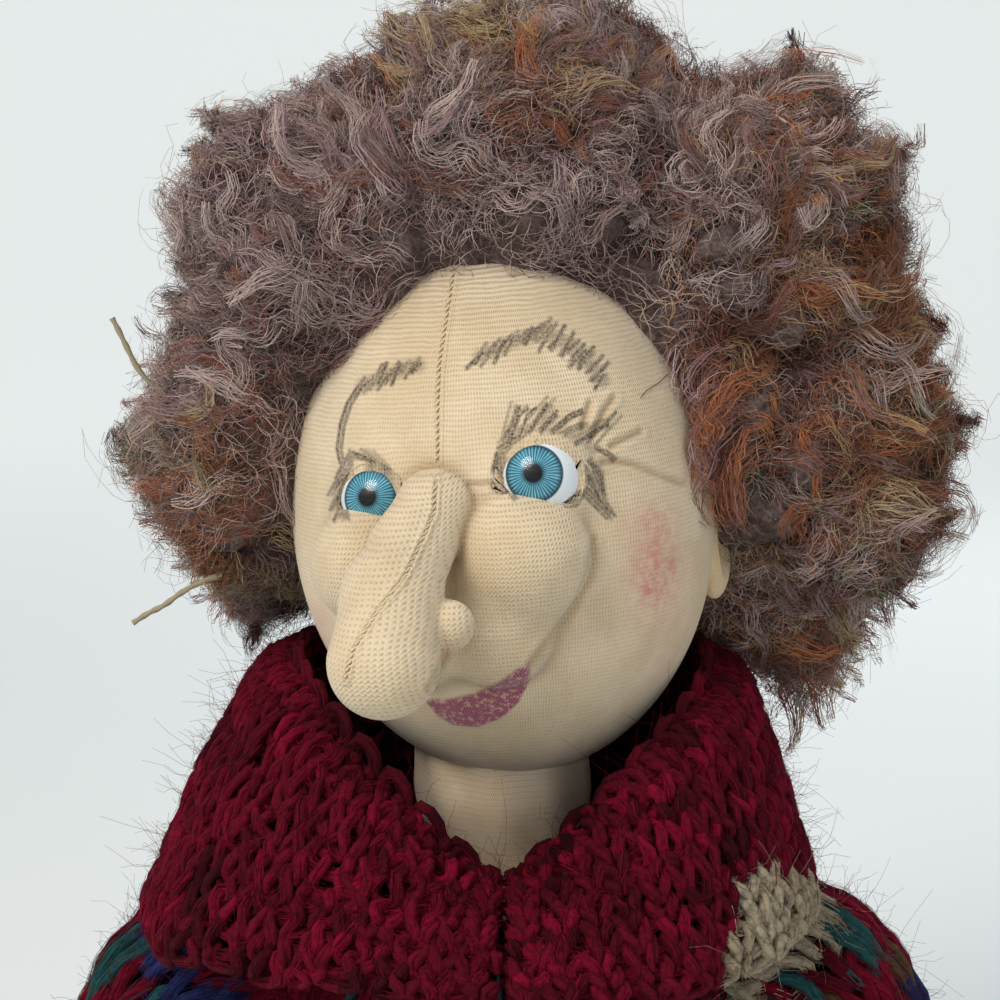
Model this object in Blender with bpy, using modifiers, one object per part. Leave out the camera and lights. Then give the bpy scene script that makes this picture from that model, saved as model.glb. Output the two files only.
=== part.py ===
"""Seated cloth doll with a long stitched nose, a wool mop and a thick knitted sweater.

Metres, +Z up. The doll faces -Y and sits on the plane z = 0. Its left is +X.
Limbs are made hanging or lying straight and then turned at the empties on their hinges.
"""
import math

import bmesh
import bpy
from mathutils import Matrix, Vector

# Clearances and cloth
CLEARANCE = 0.0003
CUT_OVERRUN = 0.004
STITCHED_EDGE = 0.0012
HINGE_SLOT = 0.0008
TROUSER_CLOTH = 0.0016
TROUSER_EASE = 0.0008
KNIT_THICKNESS = 0.0042
SLEEVE_KNIT = 0.0036

# Torso
TORSO_WIDTH = 0.062
TORSO_DEPTH = 0.048
TORSO_HEIGHT = 0.1175
SWEATER_HEM_HEIGHT = 0.0400
HEM_BAND_HEIGHT = 0.0120
HEM_BAND_SWELL = 0.0008
SEAT_CLOTH_TOP = 0.0640

# Neck and head
NECK_RADIUS = 0.0113
NECK_FOOT_RADIUS = 0.0135
NOD_HEIGHT = 0.1440
HEAD_CENTRE_HEIGHT = 0.1750
HEAD_WIDTH = 0.0640
HEAD_DEPTH = 0.0640
HEAD_HEIGHT = 0.0800
HEAD_TURN = math.radians(-16.0)
HEAD_LEAN = math.radians(-5.0)
NOD_CLEAR_ANGLE = math.radians(14.0)

# Nose, nostril wings and cheek pads
NOSE_LENGTH = 0.0240
NOSE_DROP = 0.0220
NOSE_ROOT_DEPTH = 0.0300
NOSE_ROOT_HEIGHT = 0.0120
NOSE_TIP_RADIUS = 0.0086
WING_SPREAD = 0.0075
WING_DEPTH = 0.0440
WING_DROP = 0.0080
WING_RADIUS = 0.0045
CHEEK_SPREAD = 0.0125
CHEEK_DEPTH = 0.0240
CHEEK_DROP = 0.0030
CHEEK_RADIUS = 0.0110

# Eyes and ears
EYE_SPREAD = 0.0131
EYE_DEPTH = 0.0248
EYE_RISE = 0.0092
EYE_BALL_RADIUS = 0.0063
EYE_DOME_THICKNESS = 0.0006
EAR_SPREAD = 0.0316
EAR_DEPTH = 0.0030
EAR_DROP = 0.0060
EAR_THICKNESS = 0.0050
EAR_LENGTH = 0.0150
EAR_WIDTH = 0.0100

# Collar
COLLAR_TOP_HEIGHT = 0.1530
COLLAR_FRONT_HEIGHT = 0.1270
COLLAR_FOOT_HEIGHT = 0.1190
COLLAR_NECK_RADIUS = 0.0215
COLLAR_TOP_RADIUS = 0.0300
COLLAR_EDGE_THICKNESS = 0.0080
COLLAR_SIDE_RADIUS = 0.0540
COLLAR_FRONT_RADIUS = 0.0460
COLLAR_SLIT_ANGLE = math.radians(7.0)
COLLAR_RISE_ANGLE = math.radians(85.0)
HAIR_NOD_ROOM = 0.0090

# Arms
SHOULDER_HEIGHT = 0.1040
ARMPIT_OFFSET = 0.0368
ARM_RADIUS = 0.0095
ARMHOLE_RADIUS = 0.0068
UPPER_ARM_LENGTH = 0.0300
FOREARM_LENGTH = 0.0400
FOREARM_WIDTH = 0.0160
HAND_LENGTH = 0.0180
HAND_WIDTH = 0.0170
HAND_THICKNESS = 0.0100
THUMB_LENGTH = 0.0090
THUMB_RADIUS = 0.0032
CUFF_LENGTH = 0.0100
ARM_SWING = math.radians(10.0)
ELBOW_BEND = math.radians(25.0)

# Legs
HIP_SPREAD = 0.0180
HIP_DEPTH = 0.0242
HIP_HEIGHT = 0.0170
THIGH_LENGTH = 0.0700
THIGH_WIDTH = 0.0270
THIGH_HEIGHT = 0.0285
SHIN_LENGTH = 0.0660
SHIN_WIDTH = 0.0240
SHIN_HEIGHT = 0.0250
LEG_SPLAY = math.radians(6.0)
TROUSER_START = 0.0070
BOOT_SHAFT_LENGTH = 0.0200
BOOT_LEATHER = 0.0022
FOOT_HEIGHT = 0.0340
FOOT_WIDTH = 0.0230
FOOT_THICKNESS = 0.0190
BOOT_SOLE_FLAT = 0.0012
SOLE_THICKNESS = 0.0030

# Facets round each kind of piece
LIMB_SIDES = 12
TORSO_SIDES = 20
HEAD_SIDES = 28
HEAD_RINGS = 16
SMALL_SIDES = 12
EYE_RINGS = 8
HAIR_SIDES = 16
HAIR_RINGS = 10

for old in list(bpy.data.objects):
    bpy.data.objects.remove(old, do_unlink=True)

parts = bpy.data.collections.new("rag_doll")
cutters = bpy.data.collections.new("cutters")
bpy.context.scene.collection.children.link(parts)
bpy.context.scene.collection.children.link(cutters)


def material(name, colour, roughness, metallic=0.0):
    made = bpy.data.materials.new(name)
    made.use_nodes = True
    shader = made.node_tree.nodes["Principled BSDF"]
    shader.inputs["Base Color"].default_value = (*colour, 1.0)
    shader.inputs["Roughness"].default_value = roughness
    shader.inputs["Metallic"].default_value = metallic
    return made


def empty(name, location, turn=None, parent=None):
    marker = bpy.data.objects.new(name, None)
    marker.location = location
    if turn is not None:
        marker.rotation_mode = "QUATERNION"
        marker.rotation_quaternion = turn.to_quaternion()
    marker.parent = parent
    parts.objects.link(marker)
    return marker


def add_piece(name, mesh, finish, parent=None):
    """A part of the doll, in its parent's own axes."""
    piece = bpy.data.objects.new(name, mesh)
    mesh.materials.append(finish)
    piece.parent = parent
    parts.objects.link(piece)
    mesh.shade_smooth()
    return piece


def add_cutter(name, mesh, parent=None):
    cutter = bpy.data.objects.new(name, mesh)
    cutter.parent = parent
    cutter.hide_render = True
    cutter.display_type = "WIRE"
    cutters.objects.link(cutter)
    return cutter


def combine(piece, cutter, operation):
    joined = piece.modifiers.new(cutter.name, "BOOLEAN")
    joined.operation = operation
    joined.object = cutter
    joined.solver = "EXACT"
    return joined


def finish_mesh(mesh, builder):
    bmesh.ops.recalc_face_normals(builder, faces=builder.faces)
    builder.to_mesh(mesh)
    builder.free()
    return mesh


def skin(name, sections, capped=True):
    """Quads between closed sections of equal count, with a face over each end if capped."""
    builder = bmesh.new()
    rows = [[builder.verts.new(point) for point in section] for section in sections]
    count = len(rows[0])
    for row, following in zip(rows, rows[1:]):
        for index in range(count):
            after = (index + 1) % count
            builder.faces.new((row[index], row[after], following[after], following[index]))
    if capped:
        builder.faces.new(tuple(reversed(rows[0])))
        builder.faces.new(rows[-1])
    return finish_mesh(bpy.data.meshes.new(name), builder)


def ring_skin(name, sections):
    """Skin over sections that return to the first one."""
    mesh = skin(name, sections + [sections[0]], False)
    builder = bmesh.new()
    builder.from_mesh(mesh)
    bmesh.ops.remove_doubles(builder, verts=builder.verts, dist=CLEARANCE / 100.0)
    return finish_mesh(mesh, builder)


def oval(centre, across, through, half_across, half_through, sides, squareness=2.0):
    """Points of an oval; a squareness above 2 fills its corners."""
    points = []
    power = 2.0 / squareness
    for index in range(sides):
        angle = 2.0 * math.pi * index / sides
        cosine = math.cos(angle)
        sine = math.sin(angle)
        along = math.copysign(abs(cosine) ** power, cosine) * half_across
        aside = math.copysign(abs(sine) ** power, sine) * half_through
        points.append(centre + across * along + through * aside)
    return points


def ellipsoid(name, centre, radii, sides=HAIR_SIDES, rings=HAIR_RINGS):
    builder = bmesh.new()
    bmesh.ops.create_uvsphere(builder, u_segments=sides, v_segments=rings, radius=1.0)
    bmesh.ops.transform(builder, matrix=Matrix.LocRotScale(centre, None, radii), verts=builder.verts)
    return finish_mesh(bpy.data.meshes.new(name), builder)


def thicken(piece, thickness):
    wall = piece.modifiers.new("cloth", "SOLIDIFY")
    wall.thickness = thickness
    wall.offset = 1.0
    return wall


def between_rows(table, share):
    """Values on the straight line between two rows of a table of shares."""
    if share <= table[0][0]:
        return table[0][1:]
    for low, high in zip(table, table[1:]):
        if share <= high[0]:
            part = (share - low[0]) / (high[0] - low[0])
            return tuple(a + (b - a) * part for a, b in zip(low[1:], high[1:]))
    return table[-1][1:]


def stations(table, low, high):
    """The two ends of a stretch and every row of the table that lies between them."""
    inside = [row[0] for row in table if low < row[0] < high]
    return [low] + inside + [high]


cloth_skin = material("doll_fabric", (0.69, 0.52, 0.33), 0.9)
calico = material("body_calico", (0.62, 0.53, 0.40), 0.9)
eye_white = material("eye_ball", (0.55, 0.70, 0.74), 0.25)
eye_clear = material("eye_dome", (0.85, 0.92, 0.95), 0.05)
wool = material("wool_hair", (0.22, 0.14, 0.12), 0.95)
crimson = material("crimson_knit", (0.20, 0.006, 0.020), 0.95)
navy = material("trouser_cloth", (0.035, 0.045, 0.085), 0.9)
brown_leather = material("boot_felt", (0.12, 0.065, 0.04), 0.8)
sole_dark = material("boot_sole", (0.05, 0.035, 0.03), 0.85)

# Torso: height share, half-width share, half-depth share, and how far back it lies
torso_shares = (
    (0.00, 0.62, 0.50, 0.34),
    (0.05, 0.86, 0.74, 0.20),
    (0.15, 1.00, 0.98, 0.02),
    (0.32, 0.98, 0.98, 0.00),
    (0.44, 0.92, 0.92, 0.00),
    (0.56, 0.88, 0.87, 0.00),
    (0.72, 0.96, 0.90, 0.00),
    (0.86, 0.98, 0.84, 0.00),
    (0.93, 0.84, 0.72, 0.00),
    (0.98, 0.60, 0.54, 0.00),
    (1.00, 0.46, 0.56, 0.00),
)
TORSO_SQUARENESS = 2.5


def torso_section(share, outset):
    across_share, through_share, back_share = between_rows(torso_shares, share)
    centre = Vector((0.0, back_share * TORSO_DEPTH / 2.0, share * TORSO_HEIGHT))
    half_across = across_share * TORSO_WIDTH / 2.0 + outset
    half_through = through_share * TORSO_DEPTH / 2.0 + outset
    east = Vector((1.0, 0.0, 0.0))
    north = Vector((0.0, 1.0, 0.0))
    return oval(centre, east, north, half_across, half_through, TORSO_SIDES, TORSO_SQUARENESS)


def raised(section, lift):
    return [point + Vector((0.0, 0.0, lift)) for point in section]


SEAT_LIFT = TROUSER_CLOTH + CLEARANCE


def make_torso():
    sections = []
    for share in stations(torso_shares, 0.0, 1.0):
        sections.append(raised(torso_section(share, 0.0), SEAT_LIFT if share == 0.0 else 0.0))
    add_piece("torso", skin("torso", sections), calico)


def make_trouser_seat():
    """A bag of trouser cloth round the hips, flat underneath."""
    levels = stations(torso_shares, 0.0, SEAT_CLOTH_TOP / TORSO_HEIGHT)
    outer = [torso_section(share, SEAT_LIFT) for share in levels]
    inner = [torso_section(share, CLEARANCE) for share in levels]
    inner[0] = raised(inner[0], TROUSER_CLOTH)
    sections = outer + list(reversed(inner))
    add_piece("trousers_seat", skin("trousers_seat", sections), navy)


SWEATER_INSET = SEAT_LIFT + CLEARANCE
SWEATER_OUTSET = SWEATER_INSET + KNIT_THICKNESS
YOKE_TOP_SHARE = 0.97
SHOULDER_SHARE = 0.86
YOKE_ROOM_SHARE = 0.60
YOKE_RISE_SHARE = 1.4


def yoke_section(share, outset):
    """A ring of knitting round the torso; above the shoulders it also lies on top of them."""
    over = max(0.0, share - SHOULDER_SHARE) / (YOKE_TOP_SHARE - SHOULDER_SHARE)
    return raised(torso_section(share, outset), min(1.0, over * YOKE_RISE_SHARE) * outset)


def make_sweater_body():
    """The knitted front and back, open at the hem, the neck and both armholes."""
    bottom_share = (SWEATER_HEM_HEIGHT + HEM_BAND_HEIGHT + CLEARANCE) / TORSO_HEIGHT
    levels = stations(torso_shares, bottom_share, YOKE_TOP_SHARE)
    outer = [yoke_section(share, SWEATER_OUTSET) for share in levels]
    inner = [yoke_section(share, SWEATER_INSET) for share in levels]
    sections = outer + list(reversed(inner))
    sweater = add_piece("sweater_body", ring_skin("sweater_body", sections), crimson)
    for side, word in ((1.0, "left"), (-1.0, "right")):
        start = Vector((side * ARMHOLE_RADIUS, 0.0, SHOULDER_HEIGHT))
        finish = Vector((side * (ARMPIT_OFFSET + CUT_OVERRUN), 0.0, SHOULDER_HEIGHT))
        tube = round_bar("armhole_" + word, start, finish, ARMHOLE_RADIUS + CLEARANCE)
        combine(sweater, add_cutter("armhole_" + word, tube), "DIFFERENCE")


def round_bar(name, start, finish, radius, sides=LIMB_SIDES):
    length = (finish - start).length
    turn = (finish - start).to_track_quat("Z", "Y").to_matrix().to_4x4()
    place = Matrix.Translation((start + finish) / 2.0) @ turn
    builder = bmesh.new()
    bmesh.ops.create_cone(
        builder, cap_ends=True, segments=sides, radius1=radius, radius2=radius, depth=length, matrix=place
    )
    return finish_mesh(bpy.data.meshes.new(name), builder)


def make_sweater_hem():
    """The ribbed band knitted on under the sweater's body."""
    top_share = (SWEATER_HEM_HEIGHT + HEM_BAND_HEIGHT) / TORSO_HEIGHT
    bottom_share = SWEATER_HEM_HEIGHT / TORSO_HEIGHT
    levels = stations(torso_shares, bottom_share, top_share)
    outer = [torso_section(share, SWEATER_OUTSET + HEM_BAND_SWELL) for share in levels]
    inner = [torso_section(share, SWEATER_INSET) for share in reversed(levels)]
    add_piece("sweater_hem", ring_skin("sweater_hem", outer + inner), crimson)


# Neck: height share, and how much of its foot's spread is left there
neck_stem_shares = ((0.0, 1.0), (0.2, 0.55), (0.5, 0.0), (1.0, 0.0))
DOME_STEPS = 5


def make_neck():
    """A stuffed stem whose rounded top is pushed up into the head."""
    axis_x = Vector((1.0, 0.0, 0.0))
    axis_y = Vector((0.0, 1.0, 0.0))
    foot = TORSO_HEIGHT + CLEARANCE
    stem = NOD_HEIGHT - foot
    sections = []
    for height_share, spread_share in neck_stem_shares:
        radius = NECK_RADIUS + (NECK_FOOT_RADIUS - NECK_RADIUS) * spread_share
        centre = Vector((0.0, 0.0, foot + stem * height_share))
        sections.append(oval(centre, axis_x, axis_y, radius, radius, SMALL_SIDES))
    for step in range(1, DOME_STEPS):
        rise = math.pi / 2.0 * step / DOME_STEPS
        centre = Vector((0.0, 0.0, NOD_HEIGHT + NECK_RADIUS * math.sin(rise)))
        radius = NECK_RADIUS * math.cos(rise)
        sections.append(oval(centre, axis_x, axis_y, radius, radius, SMALL_SIDES))
    add_piece("neck", skin("neck", sections), cloth_skin)


def head_frame():
    turned = Matrix.Rotation(HEAD_TURN, 3, "Z") @ Matrix.Rotation(HEAD_LEAN, 3, "Y")
    return empty("head_centre", (0.0, 0.0, HEAD_CENTRE_HEIGHT), turned)


# Nose: how far along, its share of the tip's radius
nose_shares = ((0.0, 0.62), (0.25, 0.80), (0.5, 0.86), (0.75, 0.95), (1.0, 1.0))
NOSE_ROOT_SHARE = 0.4
WING_HEIGHT_SHARE = 1.2
NOSE_BALL_STEPS = 4


def nose_mesh():
    """A stuffed tube that runs forward and down from the bridge and ends in a ball."""
    root = Vector((0.0, -NOSE_ROOT_DEPTH, NOSE_ROOT_HEIGHT))
    tip = root + Vector((0.0, -NOSE_LENGTH, -NOSE_DROP))
    forward = (tip - root).normalized()
    across = Vector((1.0, 0.0, 0.0))
    through = forward.cross(across)
    inside = root - forward * NOSE_TIP_RADIUS
    root_radius = NOSE_TIP_RADIUS * NOSE_ROOT_SHARE
    sections = [oval(inside, across, through, root_radius, root_radius, SMALL_SIDES)]
    for along_share, radius_share in nose_shares:
        radius = NOSE_TIP_RADIUS * radius_share
        sections.append(oval(root.lerp(tip, along_share), across, through, radius, radius, SMALL_SIDES))
    for step in range(1, NOSE_BALL_STEPS):
        turn = math.pi / 2.0 * step / NOSE_BALL_STEPS
        centre_point = tip + forward * NOSE_TIP_RADIUS * math.sin(turn)
        radius = NOSE_TIP_RADIUS * math.cos(turn)
        sections.append(oval(centre_point, across, through, radius, radius, SMALL_SIDES))
    return skin("nose", sections)


def make_head(centre):
    """Jersey head with its nose, nostril wings and cheek pads, open below for the neck."""
    radii = Vector((HEAD_WIDTH, HEAD_DEPTH, HEAD_HEIGHT)) / 2.0
    shell = ellipsoid("head", Vector((0.0, 0.0, 0.0)), radii, HEAD_SIDES, HEAD_RINGS)
    head = add_piece("head", shell, cloth_skin, centre)
    combine(head, add_cutter("nose_form", nose_mesh(), centre), "UNION")
    for side, word in ((1.0, "left"), (-1.0, "right")):
        wing_centre = Vector((side * WING_SPREAD, -WING_DEPTH, -WING_DROP))
        wing_radii = Vector((WING_RADIUS, WING_RADIUS, WING_RADIUS * WING_HEIGHT_SHARE))
        wing = ellipsoid("wing_" + word, wing_centre, wing_radii, SMALL_SIDES, SMALL_SIDES // 2)
        combine(head, add_cutter("wing_" + word, wing, centre), "UNION")
        pad_centre = Vector((side * CHEEK_SPREAD, -CHEEK_DEPTH, -CHEEK_DROP))
        pad_radii = Vector((CHEEK_RADIUS, CHEEK_RADIUS, CHEEK_RADIUS))
        pad = ellipsoid("cheek_" + word, pad_centre, pad_radii, SMALL_SIDES, EYE_RINGS)
        combine(head, add_cutter("cheek_" + word, pad, centre), "UNION")
    for side, word in ((1.0, "left"), (-1.0, "right")):
        socket_radius = EYE_BALL_RADIUS + EYE_DOME_THICKNESS + 2.0 * CLEARANCE
        radii = Vector([socket_radius] * 3)
        socket = ellipsoid("socket_" + word, eye_place(side), radii, SMALL_SIDES, EYE_RINGS)
        combine(head, add_cutter("socket_" + word, socket, centre), "DIFFERENCE")
    combine(head, add_cutter("neck_seat", neck_seat_mesh()), "DIFFERENCE")
    return head


NECK_SEAT_FLARE_SHARE = 1.6


def neck_seat_mesh():
    """The hollow under the head: a dome over the neck's top that widens downwards for the nod."""
    axis_x = Vector((1.0, 0.0, 0.0))
    axis_y = Vector((0.0, 1.0, 0.0))
    dome = NECK_RADIUS + CLEARANCE * 2.0
    depth = HEAD_CENTRE_HEIGHT - HEAD_HEIGHT / 2.0 - CUT_OVERRUN - NOD_HEIGHT
    wide = dome - depth * math.tan(NOD_CLEAR_ANGLE) * NECK_SEAT_FLARE_SHARE
    sections = [oval(Vector((0.0, 0.0, NOD_HEIGHT + depth)), axis_x, axis_y, wide, wide, SMALL_SIDES)]
    for step in range(DOME_STEPS):
        rise = math.pi / 2.0 * step / DOME_STEPS
        centre = Vector((0.0, 0.0, NOD_HEIGHT + dome * math.sin(rise)))
        radius = dome * math.cos(rise)
        sections.append(oval(centre, axis_x, axis_y, radius, radius, SMALL_SIDES))
    top = Vector((0.0, 0.0, NOD_HEIGHT + dome + CLEARANCE))
    sections.append(oval(top, axis_x, axis_y, CLEARANCE, CLEARANCE, SMALL_SIDES))
    return skin("neck_seat", sections)


def eye_place(side):
    return Vector((side * EYE_SPREAD, -EYE_DEPTH, EYE_RISE))


def make_eyes(centre):
    """A ball with the printed iris, behind a clear dome, set in each socket."""
    for side, word in ((1.0, "left"), (-1.0, "right")):
        radii = Vector([EYE_BALL_RADIUS] * 3)
        ball = ellipsoid("eye_ball_" + word, eye_place(side), radii, SMALL_SIDES, EYE_RINGS)
        add_piece("eye_ball_" + word, ball, eye_white, centre)
        builder = bmesh.new()
        radius = EYE_BALL_RADIUS + CLEARANCE
        bmesh.ops.create_uvsphere(builder, u_segments=SMALL_SIDES, v_segments=EYE_RINGS, radius=radius)
        back = [face for face in builder.faces if face.calc_center_median().z < 0.0]
        bmesh.ops.delete(builder, geom=back, context="FACES")
        facing = Matrix.Translation(eye_place(side)) @ Matrix.Rotation(math.pi / 2.0, 4, "X")
        bmesh.ops.transform(builder, matrix=facing, verts=builder.verts)
        mesh = bpy.data.meshes.new("eye_dome_" + word)
        builder.to_mesh(mesh)
        builder.free()
        thicken(add_piece("eye_dome_" + word, mesh, eye_clear, centre), EYE_DOME_THICKNESS)


def grown(radii, growth):
    return Vector([radius + growth for radius in radii])


def head_clearance(centre):
    radii = grown(Vector((HEAD_WIDTH, HEAD_DEPTH, HEAD_HEIGHT)) / 2.0, CLEARANCE)
    mesh = ellipsoid("head_clearance", Vector((0.0, 0.0, 0.0)), radii, HEAD_SIDES, HEAD_RINGS)
    return add_cutter("head_clearance", mesh, centre)


def ear_shape(name, side, growth):
    place = Vector((side * EAR_SPREAD, EAR_DEPTH, -EAR_DROP))
    radii = grown(Vector((EAR_THICKNESS, EAR_WIDTH, EAR_LENGTH)) / 2.0, growth)
    return ellipsoid(name, place, radii, SMALL_SIDES, SMALL_SIDES // 2)


def make_ears(centre, head_room):
    ear_rooms = []
    for side, word in ((1.0, "left"), (-1.0, "right")):
        ear = add_piece("ear_" + word, ear_shape("ear_" + word, side, 0.0), cloth_skin, centre)
        combine(ear, head_room, "DIFFERENCE")
        room = add_cutter("ear_room_" + word, ear_shape("ear_room_" + word, side, CLEARANCE), centre)
        ear_rooms.append(room)
    return ear_rooms


# Hair locks: centre and half-sizes as shares of the head's width, depth and height
hair_lock_shares = (
    ("hair_crown", (0.06, 0.26, 0.62), (0.47, 0.45, 0.315)),
    ("hair_top_left", (0.56, 0.22, 0.50), (0.36, 0.41, 0.305)),
    ("hair_top_right", (-0.40, 0.16, 0.46), (0.34, 0.39, 0.285)),
    ("hair_side_left", (0.74, 0.24, 0.10), (0.31, 0.39, 0.31)),
    ("hair_side_right", (-0.58, 0.22, 0.10), (0.275, 0.37, 0.27)),
    ("hair_low_left", (0.76, 0.38, -0.24), (0.20, 0.30, 0.20)),
    ("hair_low_right", (-0.58, 0.40, -0.16), (0.18, 0.28, 0.155)),
    ("hair_back", (0.06, 0.72, 0.22), (0.59, 0.335, 0.445)),
    ("hair_nape", (0.06, 0.70, -0.20), (0.49, 0.295, 0.19)),
)


def collar_room_mesh():
    """A turned shape over the collar, tall enough for the hair to clear it as the head nods."""
    axis_x = Vector((1.0, 0.0, 0.0))
    axis_y = Vector((0.0, 1.0, 0.0))
    top_radius = COLLAR_TOP_RADIUS + COLLAR_EDGE_THICKNESS + HAIR_NOD_ROOM / 2.0
    rows = (
        (COLLAR_FOOT_HEIGHT - COLLAR_EDGE_THICKNESS, COLLAR_SIDE_RADIUS + HAIR_NOD_ROOM),
        (COLLAR_FOOT_HEIGHT + HAIR_NOD_ROOM, COLLAR_SIDE_RADIUS + HAIR_NOD_ROOM),
        (COLLAR_TOP_HEIGHT - COLLAR_EDGE_THICKNESS / 2.0, top_radius + HAIR_NOD_ROOM / 2.0),
        (COLLAR_TOP_HEIGHT + HAIR_NOD_ROOM, top_radius),
    )
    sections = []
    for height, radius in rows:
        sections.append(oval(Vector((0.0, 0.0, height)), axis_x, axis_y, radius, radius, HEAD_SIDES))
    return skin("collar_room", sections)


def make_hair(head_room, ear_rooms):
    """Puffs of wool round the head, each cut by the head and by the puffs laid before it."""
    collar_room = add_cutter("collar_room", collar_room_mesh())
    head_size = Vector((HEAD_WIDTH, HEAD_DEPTH, HEAD_HEIGHT))
    middle = Vector((0.0, 0.0, HEAD_CENTRE_HEIGHT))
    earlier = []
    for name, centre_shares, size_shares in hair_lock_shares:
        place = middle + Vector([share * size for share, size in zip(centre_shares, head_size)])
        radii = Vector([share * size for share, size in zip(size_shares, head_size)])
        lock = add_piece(name, ellipsoid(name, place, radii), wool)
        for room in [head_room, collar_room] + ear_rooms + earlier:
            combine(lock, room, "DIFFERENCE")
        room_mesh = ellipsoid(name + "_room", place, grown(radii, CLEARANCE))
        earlier.append(add_cutter(name + "_room", room_mesh))


# Collar: angle share from the slit to the side, and the rise of its top edge there
collar_rise_shares = ((0.0, 0.0), (0.15, 0.20), (0.35, 0.50), (0.6, 0.80), (0.85, 0.97), (1.0, 1.0))
# Its cut in three stretches, inside, over the fold and outside: share of the way out, share of its height
collar_inside_shares = ((0.0, -0.25), (0.6, 0.50), (1.0, 0.94))
collar_fold_shares = ((0.45, 1.00), (1.0, 0.93))
collar_outside_shares = ((0.52, 0.58), (1.0, 0.14))
COLLAR_LEAN_SHARE = 0.35
COLLAR_SPREAD_SHARE = 1.4
COLLAR_HEM_SHARE = 0.35
COLLAR_REST_SHARE = 0.5
COLLAR_STEPS = 26


def collar_section(turn):
    """The cut through the folded collar at an angle from straight ahead."""
    away = abs(turn)
    share = min(1.0, (away - COLLAR_SLIT_ANGLE) / (COLLAR_RISE_ANGLE - COLLAR_SLIT_ANGLE))
    rise = between_rows(collar_rise_shares, share)[0]
    top = COLLAR_FRONT_HEIGHT + (COLLAR_TOP_HEIGHT - COLLAR_FRONT_HEIGHT) * rise
    height = top - COLLAR_FOOT_HEIGHT
    lean = COLLAR_TOP_RADIUS - COLLAR_NECK_RADIUS
    full_height = COLLAR_TOP_HEIGHT - COLLAR_FOOT_HEIGHT
    lean_share = COLLAR_LEAN_SHARE + (1.0 - COLLAR_LEAN_SHARE) * height / full_height
    inner_top = COLLAR_NECK_RADIUS + lean * lean_share
    outer_top = inner_top + COLLAR_EDGE_THICKNESS
    spread = COLLAR_SIDE_RADIUS - COLLAR_FRONT_RADIUS
    foot = COLLAR_FRONT_RADIUS + spread * min(1.0, share * COLLAR_SPREAD_SHARE)
    stretches = (
        (COLLAR_NECK_RADIUS, inner_top, collar_inside_shares),
        (inner_top, outer_top, collar_fold_shares),
        (outer_top, foot, collar_outside_shares),
    )
    outline = []
    for near, far, shares in stretches:
        outline += [(near + (far - near) * out_share, height_share) for out_share, height_share in shares]
    outline.append((foot - COLLAR_EDGE_THICKNESS * COLLAR_HEM_SHARE, 0.0))
    outline.append((ARMPIT_OFFSET - COLLAR_EDGE_THICKNESS * COLLAR_REST_SHARE, 0.0))
    direction = Vector((math.sin(turn), -math.cos(turn), 0.0))
    points = []
    for radius, height_share in outline:
        level = COLLAR_FOOT_HEIGHT + max(height, KNIT_THICKNESS) * height_share
        points.append(direction * radius + Vector((0.0, 0.0, level)))
    return points


def make_collar():
    sweep = 2.0 * math.pi - 2.0 * COLLAR_SLIT_ANGLE
    sections = []
    for index in range(COLLAR_STEPS + 1):
        turn = COLLAR_SLIT_ANGLE + sweep * index / COLLAR_STEPS
        sections.append(collar_section(turn if turn <= math.pi else turn - 2.0 * math.pi))
    collar = add_piece("collar", skin("collar", sections), crimson)
    levels = stations(torso_shares, YOKE_ROOM_SHARE, YOKE_TOP_SHARE)
    sections = [yoke_section(share, SWEATER_OUTSET + CLEARANCE) for share in levels]
    room = add_cutter("yoke_room", skin("yoke_room", sections))
    combine(collar, room, "DIFFERENCE")


def limb_sections(path, rows):
    """Oval rings on a path of (point, across, through), with half-sizes from rows."""
    sections = []
    for (point, across, through), (half_across, half_through) in zip(path, rows):
        sections.append(oval(point, across, through, half_across, half_through, LIMB_SIDES))
    return sections


def shoulder_arc(side, radius, steps):
    """Ring places round the armpit, from facing the torso to facing down."""
    path = []
    for index in range(steps + 1):
        turn = math.pi / 2.0 * index / steps
        outward = Vector((side * math.sin(turn), 0.0, math.cos(turn)))
        forward = Vector((0.0, 1.0, 0.0))
        point = Vector((side * ARMPIT_OFFSET, 0.0, -radius)) + outward * radius
        path.append((point, outward * side, forward))
    return path


ARM_PIVOT_DROP = ARM_RADIUS + CLEARANCE + SLEEVE_KNIT + STITCHED_EDGE
ARM_OFFSET = ARMPIT_OFFSET + ARM_PIVOT_DROP
SLEEVE_GAP = CLEARANCE + SLEEVE_KNIT


def straight_arm(side, start, drops):
    """Ring places straight down from the shoulder's bend."""
    path = []
    for drop in drops:
        point = Vector((side * ARM_OFFSET, 0.0, -start - drop))
        path.append((point, Vector((1.0, 0.0, 0.0)), Vector((0.0, side, 0.0)) * side))
    return path


def tube_wall(name, path, outer_rows, inner_rows):
    """A cloth tube from its outer and inner rings."""
    outer = limb_sections(path, outer_rows)
    inner = limb_sections(path, inner_rows)
    return ring_skin(name, outer + list(reversed(inner)))


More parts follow.
